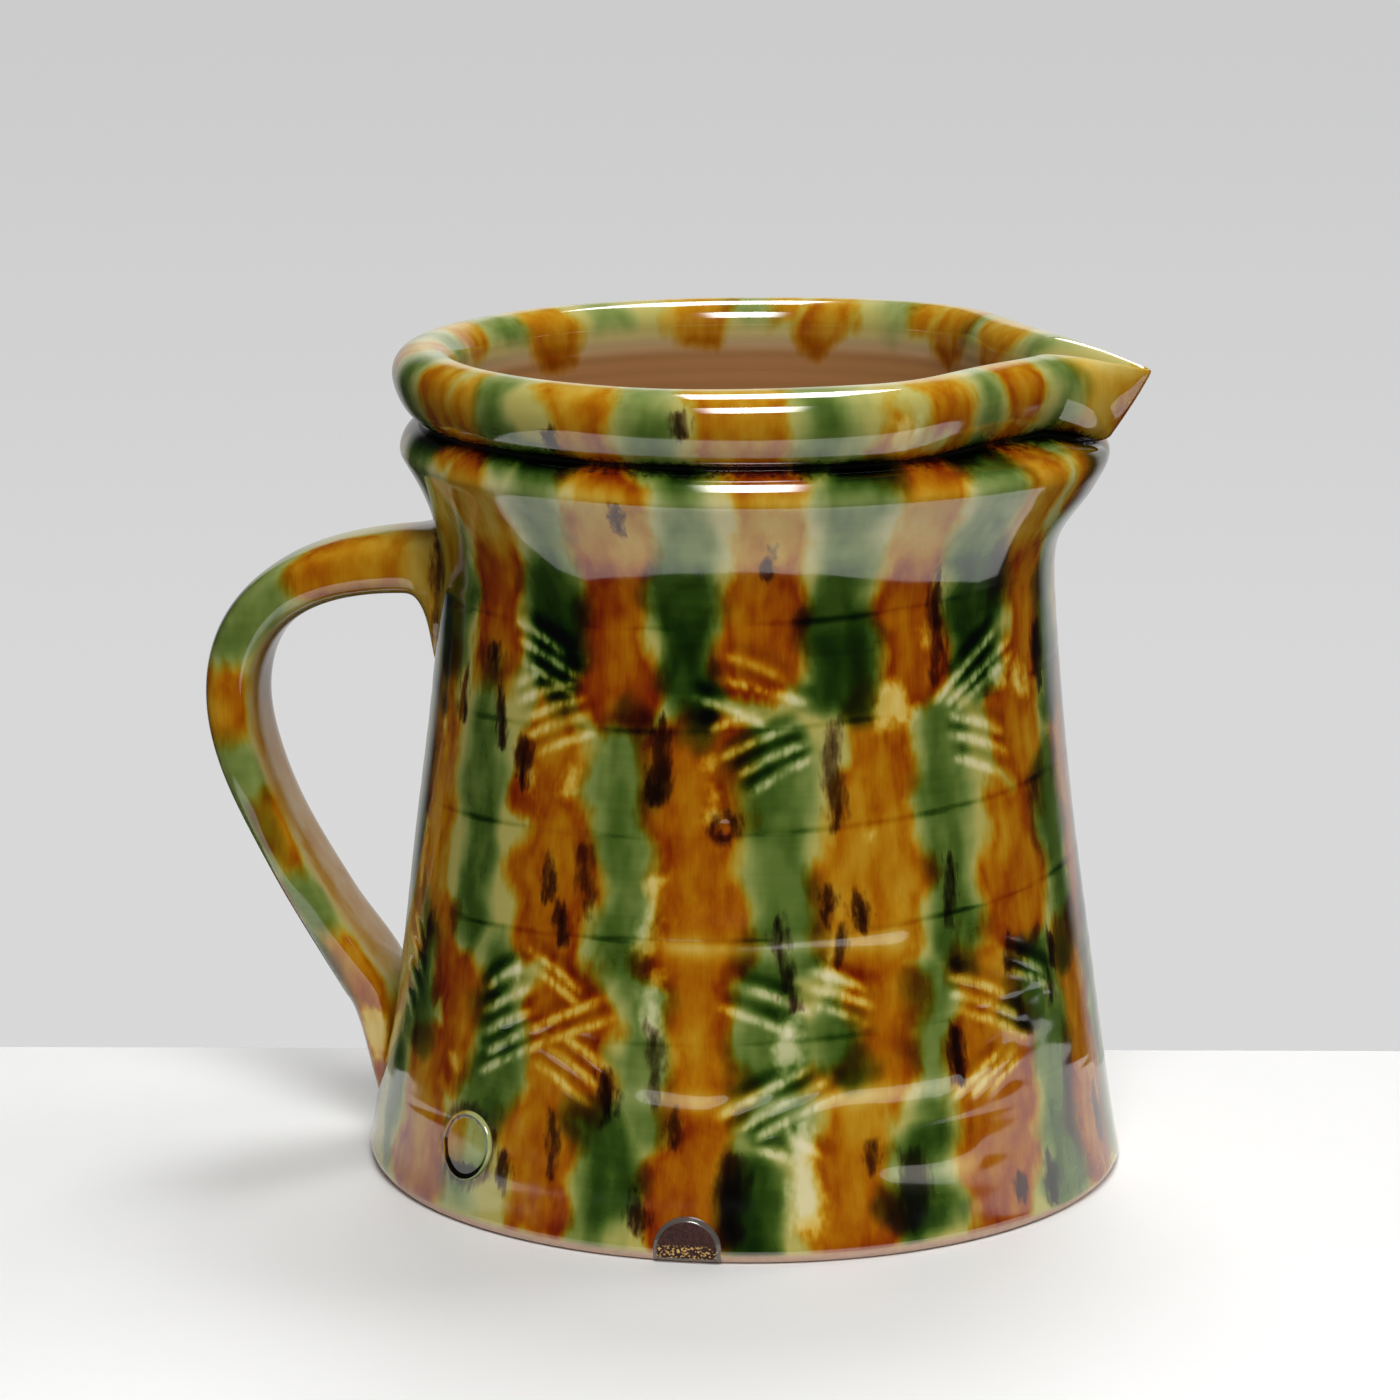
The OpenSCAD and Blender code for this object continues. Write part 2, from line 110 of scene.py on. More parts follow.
def mix(a, b, share):
    """A number, point or array that lies a share of the way from one to another."""
    a = np.asarray(a, float)
    return a + (b - a) * share


def smooth(low, high, value):
    t = np.clip((value - low) / (high - low), 0, 1)
    return t * t * (3 - 2 * t)


def band(low, full, still_full, high, value):
    """0 below low and above high, 1 between the two others, with soft steps."""
    return smooth(low, full, value) * smooth(high, still_full, value)


def bell(value, width):
    return np.exp(-(value / width) ** 2)


def signed(angle):
    """The same direction as an angle of -180 to 180."""
    return (angle + 180) % 360 - 180


def bezier(points, t):
    p = np.asarray(points, float)
    t = np.asarray(t, float)[:, None]
    return (1 - t) ** 3 * p[0] + 3 * t * (1 - t) ** 2 * p[1] + 3 * t * t * (1 - t) * p[2] + t ** 3 * p[3]


def unit(vectors):
    return vectors / (np.linalg.norm(vectors, axis=-1, keepdims=True) + 1e-9)


def run_along(points):
    """Distance along a row of points, from the first."""
    return np.concatenate([[0], np.cumsum(np.linalg.norm(np.diff(points, axis=0), axis=1))])


def even_steps(points, step):
    """Even places along a curve, as values of its parameter, without its start."""
    fine = np.linspace(0, 1, 400)
    run = run_along(bezier(points, fine))
    count = max(2, round(run[-1] / step))
    return np.interp(np.arange(1, count + 1) / count * run[-1], run, fine)


def arc(middle, radius, first, last, count):
    a = np.radians(np.linspace(first, last, count))
    return np.asarray(middle) + radius * np.stack([np.cos(a), np.sin(a)], 1)


def sweep(first, last, near, far):
    """Bezier curve between two points. Each handle is given as shares of the way across and up."""
    return [first, mix(first, last, near), mix(first, last, far), last]


def about_axis(r, angle, z):
    """Points at a distance from the axis, an angle in radians and a height."""
    return np.stack(np.broadcast_arrays(r * np.cos(angle), r * np.sin(angle), z), -1)


# Places on the outline, as distance from the axis and height, and the curves between them
FOOT, INNER_FOOT = (FOOT_R, FOOT_ROUND), (INNER_FOOT_R, FLOOR_T)
NECK, INNER_NECK = (NECK_R, NECK_Z), (INNER_NECK_R, NECK_Z)
SHOULDER, THROAT_FOOT = (SHOULDER_R, SHOULDER_Z), (THROAT_R, SHOULDER_Z)
GROOVE_LOW, GROOVE_HIGH = (GROOVE_R, GROOVE_Z), (GROOVE_R, GROOVE_Z + GROOVE_W)
WIDEST, CREST, MOUTH = (RIM_R, RIM_WIDEST_Z), (CREST_R, HEIGHT), (MOUTH_R, THROAT_Z)
OUTER_WALL = sweep(FOOT, NECK, (0.165, 0.08), (0.925, 0.76))
INNER_WALL = sweep(INNER_FOOT, INNER_NECK, (0.165, 0.08), (0.925, 0.76))
COVE = sweep(NECK, SHOULDER, (0, 0.6), (1, 0.92))
SHOULDER_TOP = sweep(SHOULDER, GROOVE_LOW, (0, 0.55), (0.58, 1))
RIM_UNDER = sweep(GROOVE_HIGH, WIDEST, (0.45, 0), (0.97, 0.58))
RIM_TOP = sweep(WIDEST, CREST, (0, 0.6), (0.35, 1))
RIM_INSIDE = sweep(CREST, MOUTH, (0.55, 0), (1, 0.35))
THROAT = sweep(MOUTH, THROAT_FOOT, (0, 0.55), (1, 0.6))
INNER_COVE = sweep(THROAT_FOOT, INNER_NECK, (0, 0.55), (1, 0.6))

# The lip's middle section: sagging shoulder and groove, underside, keel and channel
TIP_ROUNDING = 1.05
TIP = (TIP_R + TIP_ROUNDING, TIP_Z)
BEAK_GROOVE_R = mix(GROOVE_R, SHOULDER_R, 0.6)
BEAK_GROOVE_Z = mix(GROOVE_Z, SHOULDER_Z, 0.72)
BEAK_UNDER_Z = BEAK_GROOVE_Z + GROOVE_W
BEAK_LOW, BEAK_HIGH = (BEAK_GROOVE_R, BEAK_GROOVE_Z), (BEAK_GROOVE_R, BEAK_UNDER_Z)
KEEL_FOOT = (mix(GROOVE_R, TIP_R, 0.50), mix(BEAK_UNDER_Z, TIP_Z, 0.11))
BEAK_SHOULDER = sweep(SHOULDER, BEAK_LOW, (0, 0.55), (0.58, 1))
BEAK_UNDER = sweep(BEAK_HIGH, KEEL_FOOT, (0.5, 0), (0.9, 0.35))
CHANNEL = [
    TIP,
    (mix(TIP_R, THROAT_R, 0.21), mix(TIP_Z, SHOULDER_Z, 0.03)),
    (mix(TIP_R, THROAT_R, 0.84), mix(TIP_Z, SHOULDER_Z, 0.3)),
    THROAT_FOOT]
CHANNEL_IN_RIM = 7 / 22

# Rows of the outline, up the outside and down the inside: the plain section, the lip's middle section
# that it is drawn to, and how far the channel's pull has taken over from the beak's
plain_rows, drawn_rows, channel_rows = [], [], []


def add_rows(plain, drawn=None, channel=0.0):
    """Adds a stretch of rows and returns how many there are by then."""
    plain_rows.append(plain)
    drawn_rows.append(plain if drawn is None else drawn)
    channel_rows.append(np.broadcast_to(channel, len(plain)))
    return sum(len(rows) for rows in plain_rows)


def straight(first, last, t):
    return mix(first, last, np.asarray(t)[:, None])


underside = add_rows(straight((POLE_R, 0), (FOOT_R - FOOT_ROUND - 1, 0), np.linspace(0, 1, 8)))
add_rows(arc((FOOT_R - FOOT_ROUND, FOOT_ROUND), FOOT_ROUND, -90, 0, 7))
add_rows(bezier(OUTER_WALL, even_steps(OUTER_WALL, WALL_STEP)))
add_rows(bezier(COVE, even_steps(COVE, FORM_STEP)))
steps = even_steps(SHOULDER_TOP, FORM_STEP)
add_rows(bezier(SHOULDER_TOP, steps), bezier(BEAK_SHOULDER, steps))
steps = np.array([0.35, 0.7, 1.0])
add_rows(straight(GROOVE_LOW, GROOVE_HIGH, steps), straight(BEAK_LOW, BEAK_HIGH, steps))
steps = even_steps(RIM_UNDER, FORM_STEP)
add_rows(bezier(RIM_UNDER, steps), bezier(BEAK_UNDER, steps))
steps = even_steps(RIM_TOP, FORM_STEP)
crest_row = add_rows(bezier(RIM_TOP, steps), straight(KEEL_FOOT, TIP, steps), steps) - 1
steps = even_steps(RIM_INSIDE, FORM_STEP)
add_rows(bezier(RIM_INSIDE, steps), bezier(CHANNEL, steps * CHANNEL_IN_RIM), 1.0)
steps = even_steps(THROAT, FORM_STEP)
fine_rows = add_rows(bezier(THROAT, steps), bezier(CHANNEL, mix(CHANNEL_IN_RIM, 1, steps)), 1.0)


def inner_rows(step):
    """The lined part of the inside, from the throat down to the floor's middle."""
    wall = bezier(INNER_WALL, 1 - even_steps(INNER_WALL, step))
    corner_z = FLOOR_T + FLOOR_ROUND
    corner_r = np.interp(corner_z, wall[::-1, 1], wall[::-1, 0])
    corner = arc((corner_r - FLOOR_ROUND, corner_z), FLOOR_ROUND, 0, -90, 9)
    floor = straight(corner[-1], (POLE_R, FLOOR_T), np.linspace(0.12, 1, 9))
    cove = bezier(INNER_COVE, even_steps(INNER_COVE, step))
    return np.concatenate([cove, wall[wall[:, 1] > corner_z + 1], corner, floor])


add_rows(inner_rows(INSIDE_STEP))

plain = np.concatenate(plain_rows)
drawn = np.concatenate(drawn_rows)
channel_share = np.concatenate(channel_rows)[:, None]
GRID = (len(plain), COLUMNS)
theta = np.arange(COLUMNS) * 360 / COLUMNS - 180
arc_mm = np.radians(1) * plain[:, :1]

# Height outside, then the distance past the crest inside, as one number that grows along the outline
run = run_along(plain)
past_crest = run - run[crest_row]
level = np.where(past_crest > 0, HEIGHT + past_crest, plain[:, 1])[:, None]
inside = past_crest[:, None] > 0
outside = ~inside & (np.arange(len(plain))[:, None] >= underside)


def around(angle):
    """Angle of each column from a direction, -180 to 180."""
    return signed(theta - angle)


def wall_r(z):
    """Radius of the plain outside at a height."""
    return np.interp(z, plain[underside:crest_row, 1], plain[underside:crest_row, 0])


# The lip: the rim pinched in on both sides, and drawn out between them. The keel's edge is a little blunt.
KEEL_BLUNT = 0.7
BEAK_POWER, CHANNEL_POWER = 1.2, 1.5
NEAR_RISE_FROM, NEAR_RISE_FULL = 104, 62
UNDER_LIP_PROUD = 3.5
blunt = np.sqrt(theta ** 2 + KEEL_BLUNT ** 2) - KEEL_BLUNT
beak_draw = np.clip(1 - blunt / BEAK_HALF_ANGLE, 0, 1) ** BEAK_POWER
channel_draw = np.clip(1 - blunt / CHANNEL_HALF_ANGLE, 0, 1) ** CHANNEL_POWER
near_lip = np.abs(theta) < LIP_HALF_ANGLE
pinch = np.where(near_lip, LIP_PINCH * np.sin(np.pi * theta / LIP_HALF_ANGLE) ** 2, 0)
rise_angle = np.clip(np.abs(theta) / (2 * BEAK_HALF_ANGLE), 0, 1)
rise = LIP_RISE * np.cos(np.pi / 2 * rise_angle) ** 2
rise = np.maximum(rise, NEAR_RISE * smooth(NEAR_RISE_FROM, NEAR_RISE_FULL, np.abs(theta)))
above = plain[:, 1:] - SHOULDER_Z
drawn_part = (above > 0) & (level <= HEIGHT + past_crest[fine_rows - 1])
pinch_share = np.where(drawn_part, np.clip(above / SHOULDER_H, 0, 1), 0)
rise_share = np.where(drawn_part, above / (HEIGHT - SHOULDER_Z), 0)
pull = np.where(drawn_part, mix(beak_draw, channel_draw, channel_share), 0)
radius = mix(plain[:, :1] - pinch * pinch_share, drawn[:, :1], pull)
height = mix(plain[:, 1:] + rise * rise_share, drawn[:, 1:], pull)


def waves(count, longest, shortest):
    """Soft unevenness over the body, about -1 to 1: a sum of waves that close up round the jug."""
    total = np.zeros(GRID)
    for _ in range(count):
        turns = rng.integers(1, 7)
        length = rng.uniform(shortest, longest)
        phase = rng.uniform(0, 2 * np.pi, 2)
        sideways = np.sin(np.radians(theta) * turns + phase[0])
        total += sideways * np.sin(2 * np.pi * level / length + phase[1])
    return total / math.sqrt(count)


# Brushed stripes that the photograph shows: angle, top, bottom, half width, load of colour
AMBER = [
    (-132.5, 163, 117, 6.6, 1.8), (-105, 163, 112, 7.0, 1.85), (-78.5, 163, 117, 6.8, 1.8),
    (-50.5, 163, 115, 6.2, 1.65), (-27, 163, 134, 4.6, 1.6), (-20.5, 142, 110, 6.6, 1.7),
    (-10, 163, 150, 7.0, 1.5),
    (-151, 117, 94, 6.4, 1.4), (-151, 98, 57, 7.8, 1.25), (-118, 114, 92, 6.4, 1.2),
    (-116, 96, 59, 7.8, 1.35), (-90, 113, 56, 8.6, 1.3), (-58, 116, 92, 6.8, 1.2),
    (-60.5, 94, 57, 10.2, 1.2), (-25, 113, 88, 7.0, 1.3), (-29.5, 92, 60, 9.4, 1.25),
    (-2, 112, 58, 8.4, 1.4),
    (-142, 63, 46, 3.6, 1.3), (-135, 52, 31, 6.6, 1.4), (-142, 34, 2, 8.4, 1.3),
    (-111, 60, 45, 9.0, 1.6), (-110, 43, 27, 8.6, 1.2), (-115, 29, 3, 7.4, 1.4),
    (-88, 58, 29, 6.6, 1.45), (-90, 31, 3, 7.2, 1.6), (-58, 57, 33, 6.6, 1.25), (-65, 37, 3, 7.4, 1.2),
    (-39, 59, 31, 10.5, 1.35), (-39.5, 34, 3, 9.0, 1.25), (-12, 57, 4, 9.4, 1.35)]
GREEN = [
    (-151, 164, 111, 11.0, 2.6), (-118, 164, 112, 7.0, 2.7), (-91.5, 163, 112, 7.2, 2.6),
    (-64, 164, 111, 7.8, 2.5), (-36, 164, 114, 8.6, 2.5), (-10, 162, 102, 7.4, 1.7),
    (-2, 164, 146, 6.0, 1.5),
    (-160, 112, 60, 5.4, 1.2), (-134, 120, 60, 6.6, 1.4), (-103, 114, 58, 6.2, 1.2),
    (-76, 110, 59, 7.6, 1.35), (-45, 114, 57, 6.6, 1.3), (-15, 100, 54, 8.0, 1.35),
    (-148, 61, 35, 8.2, 1.7), (-154, 28, 4, 5.4, 1.8), (-126, 61, 22, 8.2, 1.4), (-130, 12, 3, 5.0, 1.0),
    (-98, 58, 26, 6.0, 1.05), (-103, 29, 4, 8.4, 1.9), (-78, 60, 22, 8.6, 1.1), (-80.5, 25, 3, 6.6, 2.5),
    (-67, 51, 37, 5.6, 1.6), (-51, 60, 27, 5.4, 1.05), (-53.5, 28, 5, 8.4, 2.2), (-27, 61, 42, 8.4, 1.7),
    (-23.5, 44, 3, 8.2, 1.35)]
RIM_AMBER = [
    (-140, 181, 163, 6, 1.0), (-131, 178, 166, 3, 0.8), (-109, 183, 162, 6.5, 1.0),
    (-83, 183, 162, 7.5, 1.1), (-57, 176, 163, 3.6, 0.8), (-50, 186, 172, 4, 1.0),
    (-44, 178, 164, 3, 0.8), (-27, 186, 164, 4.5, 1.1), (-7, 183, 164, 5.0, 0.4),
    (0, 182, 163, 1.5, 1.7), (143, 192, 168, 5, 0.8), (107, 191, 166, 6, 0.9), (90, 187, 172, 3, 0.7),
    (82, 193, 168, 5, 0.9), (61, 190, 168, 3, 0.8), (50, 192, 166, 5.5, 0.9), (30, 192, 166, 7, 0.8),
    (168, 188, 164, 6, 0.9), (-166, 186, 164, 5, 0.9)]
RIM_GREEN = [
    (-152, 182, 163, 5, 1.1), (-124.5, 183, 162, 6.5, 1.2), (-97, 184, 162, 5, 1.2),
    (-70, 184, 162, 6.5, 1.3), (-37, 184, 162, 4, 1.1), (-15, 186, 160, 5.6, 1.1), (12, 186, 160, 5, 0.9),
    (128, 190, 164, 6, 0.8), (67, 190, 164, 5, 0.8), (41, 190, 164, 4, 0.8), (97, 187, 164, 5, 0.9),
    (156, 188, 164, 6, 0.9), (180, 187, 164, 5, 0.9)]

# Runs of dark brown, the same way
BROWN = [
    (-103, 158, 151, 1.1, 0.8), (-77, 147, 140, 0.9, 0.8), (-133, 124, 118, 1.5, 0.8),
    (-142, 116, 103, 1.6, 0.9), (-130.5, 113, 100, 1.4, 0.9), (-124, 106, 95, 2.0, 0.8),
    (-117, 81, 70, 1.2, 0.9), (-114, 71, 62, 1.2, 0.9), (-96, 112, 92, 2.2, 0.8),
    (-63, 76, 67, 1.3, 0.9), (-66, 70, 61, 1.0, 0.7), (-68.5, 79, 71, 1.2, 0.8),
    (-46, 82, 67, 1.3, 0.8), (-75.5, 71, 54, 1.1, 0.9), (-74, 56, 51, 1.1, 0.8),
    (-104, 40, 28, 1.7, 1.0), (-46, 46, 33, 1.9, 1.0), (-36.5, 13, 7, 1.3, 0.8),
    (-61.5, 26, 19, 1.4, 0.7), (-152, 68, 61, 1.5, 0.9), (-148, 60, 55, 1.6, 0.8),
    (-46, 142, 116, 1.3, 0.8), (-21.5, 60, 51, 1.7, 0.8), (-22, 50, 43, 1.1, 0.8),
    (-66, 112, 88, 1.9, 0.6), (-83, 25, 5, 3.2, 0.5), (-56, 24, 5, 4.2, 0.5), (-121, 19, 10, 1.5, 0.8),
    (-98, 14, 4, 1.9, 0.8), (-112, 30, 16, 1.0, 0.7), (-93, 31, 22, 1.2, 0.7), (-96, 50, 33, 1.5, 0.5),
    (-10, 22, 8, 1.8, 0.8), (-29, 14, 2, 1.8, 0.8), (-113, 172, 166, 1.3, 0.9),
    (-92, 177, 171, 1.4, 0.8), (-16, 126, 110, 2.4, 0.6), (-109.5, 86, 70, 1.6, 0.5),
    (-33, 61, 53, 1.5, 0.7)]

# Bare cream patches where the colour missed the slip
CREAM = [
    (-113, 99, 94, 1.6, 1.0), (-121.5, 98, 92, 1.5, 1.0), (-97, 79, 64, 2.2, 1.0),
    (-96, 60, 47, 1.8, 1.0), (-87, 98, 92, 1.5, 1.0), (-55, 118, 110, 4.0, 1.0),
    (-31, 119, 114, 2.6, 1.0), (-25, 117, 111, 2.8, 1.0), (-22, 114, 110, 1.8, 1.0),
    (-72.5, 29, 6, 2.8, 1.0), (-155, 81, 67, 2.4, 1.0), (-57, 174, 167, 3.0, 1.0),
    (-150, 103, 98, 1.6, 1.0), (-148, 99, 95, 1.2, 1.0), (-75, 52, 41, 2.6, 1.0),
    (-47.5, 128, 125, 1.4, 1.0), (-68, 64, 58, 1.4, 1.0), (-122, 58, 53, 1.2, 1.0),
    (-133.5, 34, 32, 2.2, 1.0), (-88, 104, 101, 1.0, 1.0), (-60, 88, 86, 0.9, 1.0)]

# Combed strokes: the burr's line from one end to the other, as angle and height
COMBED = [
    [(-128, 128.5, -115, 122.5), (-127, 124.5, -112, 118), (-126, 120, -113, 114.5),
     (-127, 114.5, -120, 118.5), (-126, 111.5, -113, 117.5), (-124, 108, -111, 114.5),
     (-123.5, 104.5, -110, 111), (-121, 101, -109, 107.5)],
    [(-85, 125, -75, 120), (-87, 120.5, -71, 115), (-91, 116.5, -78, 110.5), (-88, 109.5, -80, 113),
     (-86, 104, -72, 111), (-83, 100.5, -71, 107), (-81, 96.5, -70, 104)],
    [(-47, 112.5, -31, 125.5), (-44, 112, -26, 123), (-42, 110.5, -25, 120), (-44, 110, -30, 104),
     (-44, 106, -29, 99.5), (-43, 101, -31, 95)],
    [(-128, 50.5, -120, 57.5), (-128, 45.5, -118, 53), (-128, 41, -117, 48.5), (-128, 33, -103, 49.5),
     (-127, 37, -105, 53), (-120, 61, -109, 54), (-118, 57, -109, 51), (-117, 38, -106, 30.5),
     (-115, 41.5, -104, 34), (-113, 45, -103, 38)],
    [(-86, 53, -73, 46.5), (-82, 57, -71, 51.5), (-86, 30, -72, 40), (-83, 27.5, -69, 37.5),
     (-80, 26, -67, 34.5), (-80, 23.5, -75, 21.5), (-75, 26, -70, 21.5), (-71, 60, -62, 55.5),
     (-71, 56.5, -61, 52), (-71, 53, -62, 48.5)],
    [(-47, 56, -35, 49.5), (-47, 52.5, -32, 44), (-46, 49, -30, 39), (-36, 59, -23, 50.5),
     (-34, 54.5, -21, 46.5), (-48, 30.5, -37, 38.5), (-45, 30, -34, 37.5), (-41, 30, -33, 35.5)],
    [(-159, 60, -150, 52), (-158, 54, -149, 47.5), (-158, 47, -150, 43), (-157, 41, -151, 37.5)]]

# The same decoration goes on round the side that the photograph doesn't show
PAIRS_ROUND = 13
SHOWN_FROM, SHOWN_TO = -166, -2
TIERS = [(163, 113, 0.0), (115, 59, 0.5), (60, 4, 0.25)]
FIRST_PAIR = -134
COMBED_TURNS = (120, 238)


def unseen(angle):
    return not SHOWN_FROM < signed(angle) < SHOWN_TO


for top, low, shift in TIERS:
    for i in range(PAIRS_ROUND):
        angle = FIRST_PAIR + (i + shift) * 360 / PAIRS_ROUND + rng.uniform(-2, 2)
        ends = rng.uniform(-4, 4, 4)
        widths = rng.uniform(6.4, 9.2, 2)
        loads = rng.uniform(1.05, 1.35), rng.uniform(1.0, 1.9)
        if unseen(angle):
            AMBER.append((angle, top + ends[0], low + ends[1], widths[0], loads[0]))
        angle += 180 / PAIRS_ROUND
        if unseen(angle):
            GREEN.append((angle, top + ends[2], low + ends[3], widths[1], loads[1]))
        for _ in range(2):
            streak = angle + rng.uniform(-14, 14), mix(low, top, rng.uniform(0.2, 0.9))
            size = rng.uniform(7, 17), rng.uniform(1.3, 2.6)
            if unseen(streak[0]):
                BROWN.append((streak[0], streak[1], streak[1] - size[0], size[1], 0.9))
COMBED += [[(a + turn, z, b + turn, y) for a, z, b, y in group] for turn in COMBED_TURNS for group in COMBED
           if unseen(group[0][0] + turn) and unseen(group[0][2] + turn)]

# Distance over which the loads of neighbouring stripes or dabs blend
LOAD_BLEND = 1.6


def layered(shape, marks):
    """How deep each point lies inside the nearest of some marks of the brush, and the load of colour there.
    Each mark is given as the depth inside it and its load."""
    depth = np.full(shape, NOWHERE)
    load = np.zeros(shape)
    weight = np.full(shape, 1e-9)
    for inner, strength in marks:
        here = np.exp(inner / LOAD_BLEND)
        load += here * strength
        weight += here
        depth = np.maximum(inner, depth)
    return depth, load / weight


def brushed(stripes, waver, ragged, heavier, taper=0.0):
    """Brushed stripes, whose load grows towards the lower end, where the glaze ran to. A stripe may taper
    from its middle to its ends."""
    for angle, top, low, half, strength in stripes:
        phase = rng.uniform(0, 2 * np.pi, 6)
        across = around(angle) * arc_mm
        sway = waver * (np.sin(level / 8.0 + phase[0]) + 0.6 * np.sin(level / 3.1 + phase[1]))
        swell = 1 + 0.20 * np.sin(level / 5.7 + phase[2]) + 0.11 * np.sin(level / 2.3 + phase[3])
        drips = ragged * (np.sin(across / 2.4 + phase[4]) + 0.3 * np.sin(across / 1.1 + phase[5]))
        beyond = np.maximum(np.abs(level + drips - (top + low) / 2) - (top - low) / 2 + 0.7 * half, 0)
        fallen = np.clip((top - level) / (top - low), 0, 1)
        half_here = half * swell * (1 - taper * (2 * fallen - 1) ** 2)
        yield half_here - np.hypot(across + sway, beyond), strength * mix(1, heavier, fallen ** 3)


amber, amber_load = layered(GRID, brushed(AMBER + RIM_AMBER, 1.0, 1.3, 1.4))
green, green_load = layered(GRID, brushed(GREEN + RIM_GREEN, 0.9, 1.2, 1.2))
brown, brown_load = layered(GRID, brushed(BROWN, 0.7, 1.4, 1.3, 0.8))
cream, _ = layered(GRID, brushed(CREAM, 0.6, 0.8, 1.0))

# Dark glaze that ran together in the groove under the rim, deepened as painted shade, and dark rings round
# the seal pad and round a burst bubble. The groove holds most under the lip, painted shade for the deep
# hollow there, and is clear at one place.
GROOVE_DARK = 0.3
SEAL_ANGLE, SEAL_Z, SEAL_R = -129.0, 17.0, 7.5
CRATER_ANGLE, CRATER_Z, CRATER_R = -85.1, 89.9, 2.2
# Painted shade: brown in the groove, partly pooled glaze, strongest in the hollow under the lip
in_groove = GROOVE_DARK + 1.6 * bell(around(-6), 9) - 1.5 * bell(around(-58), 4)
in_groove = in_groove - np.abs(level - GROOVE_Z - GROOVE_W / 2)
seal_off = np.hypot(around(SEAL_ANGLE) * arc_mm, level - SEAL_Z)
crater_off = np.hypot(around(CRATER_ANGLE) * arc_mm, level - CRATER_Z)
round_seal = 0.5 - np.abs(seal_off - SEAL_R - 0.3)
round_crater = 0.7 - np.abs(crater_off - CRATER_R)
for dark, strength in ((in_groove, 0.9), (round_seal, 0.6), (round_crater, 0.7)):
    dark = np.where(outside, dark, NOWHERE)
    brown_load = np.where(dark > brown, strength, brown_load)
    brown = np.maximum(brown, dark)
by_crater = np.hypot(around(CRATER_ANGLE - 2.0) * arc_mm, level - CRATER_Z - 3.0)
cream = np.maximum(cream, np.where(outside, 2.4 - by_crater, NOWHERE))

# Combed strokes: the burr that each leaves, and the groove beside it
BURR_HALF = 1.3
GROOVE_OFF, GROOVE_HALF = 2.5, 1.5
combed_groove = np.zeros(GRID)
combed_burr = np.zeros(GRID)
for angle, z, far_angle, far_z in sum(COMBED, []):
    step = np.array([np.radians(far_angle - angle) * wall_r((z + far_z) / 2), far_z - z])
    length = np.hypot(*step)
    across = around(angle) * arc_mm
    up = level - z
    forward = (across * step[0] + up * step[1]) / length
    bowed = 0.5 * np.sin(np.pi * np.clip(forward / length, 0, 1))
    side = (up * step[0] - across * step[1]) / length - bowed
    ends = smooth(-2.5, 2.5, forward) * smooth(-3.0, 3.0, length - forward) * ~inside
    combed_burr = np.maximum(combed_burr, ends * bell(side, BURR_HALF))
    combed_groove = np.maximum(combed_groove, ends * bell(side - GROOVE_OFF, GROOVE_HALF))
combed_groove *= 1 - 0.9 * combed_burr

# Relief of the clay along its own outward direction
TURN_PITCH = 21.5
TURN_PHASE = 0.66
RIPPLE_PITCH = 6.8
INSIDE_PITCH = 3.4
BURR_UP, GROOVE_DOWN, TURN_DOWN = 0.06, 0.09, 0.04
RIPPLE_UP, UNEVEN_UP, INSIDE_UP = 0.03, 0.12, 0.07
turn_from = np.abs(((level / TURN_PITCH - theta / 360 + TURN_PHASE) + 0.5) % 1 - 0.5) * TURN_PITCH
on_wall = outside * band(6, 14, 130, 142, level)
relief = on_wall * (BURR_UP * combed_burr - GROOVE_DOWN * combed_groove - TURN_DOWN * bell(turn_from, 0.8))
ripples = np.sin(2 * np.pi * (level / RIPPLE_PITCH - theta / 360)) * (0.6 + 0.4 * waves(3, 90, 40))
relief += on_wall * RIPPLE_UP * ripples
relief += outside * band(8, 20, 160, 172, level) * UNEVEN_UP * waves(9, 120, 45)

# Swellings that the thrower's fingers left: height, first and last angle, how proud, half height. Their
# lower flanks are made paler, a painted reflection of light strips.
SWELLINGS = [
    (36, -100, -38, 0.55, 3.0), (68.5, -97, -53, 0.95, 4.0), (19, -62, -44, 0.3, 2.6),
    (48, 20, 80, 0.7, 3.3), (70, 110, 170, 0.9, 3.3)]
strip_sheen = np.zeros_like(relief)
for z, first, last, proud, tall in SWELLINGS:
    crest_z = z + 0.4 * np.sin(np.radians(theta) * 9 + z) + 0.2 * np.sin(np.radians(theta) * 23 + 2 * z)
    shown = band(first - 2, first + 4, last - 4, last + 2, theta)
    relief += outside * proud * shown * bell(level - crest_z, tall)
    strip_sheen = np.maximum(strip_sheen, outside * shown * bell(level - crest_z + 0.8 * tall, 2.6))

# A fuller shoulder below the lip, throwing rings inside, a heel under the handle and the bubble's rim
relief += outside * UNDER_LIP_PROUD * bell(around(0), 34) * band(137, 153, 158, 164, level)
relief += inside * smooth(186, 192, level) * INSIDE_UP * np.sin(2 * np.pi * level / INSIDE_PITCH)
relief += outside * bell(around(180), 30) * band(1, 4, 10, 30, level)
relief += outside * (0.35 * bell(crater_off - CRATER_R, 0.7) - 0.3 * bell(crater_off, 1.2))

# The lip's tip is smoothed, then the relief is laid on
points = about_axis(radius, np.radians(theta), height)
tip_part = (bell(theta, 5.0) * bell(np.arange(len(plain)) - crest_row, 9)[:, None])[:, :, None]
for _ in range(TIP_PASSES):
    beside = sum(np.roll(points, step, axis) for axis in (0, 1) for step in (1, -1)) / 4
    points = mix(points, beside, 0.8 * tip_part)
along_rows = np.gradient(points, axis=0)
along_columns = np.roll(points, -1, 1) - np.roll(points, 1, 1)
points = points + unit(np.cross(along_columns, along_rows)) * relief[:, :, None]
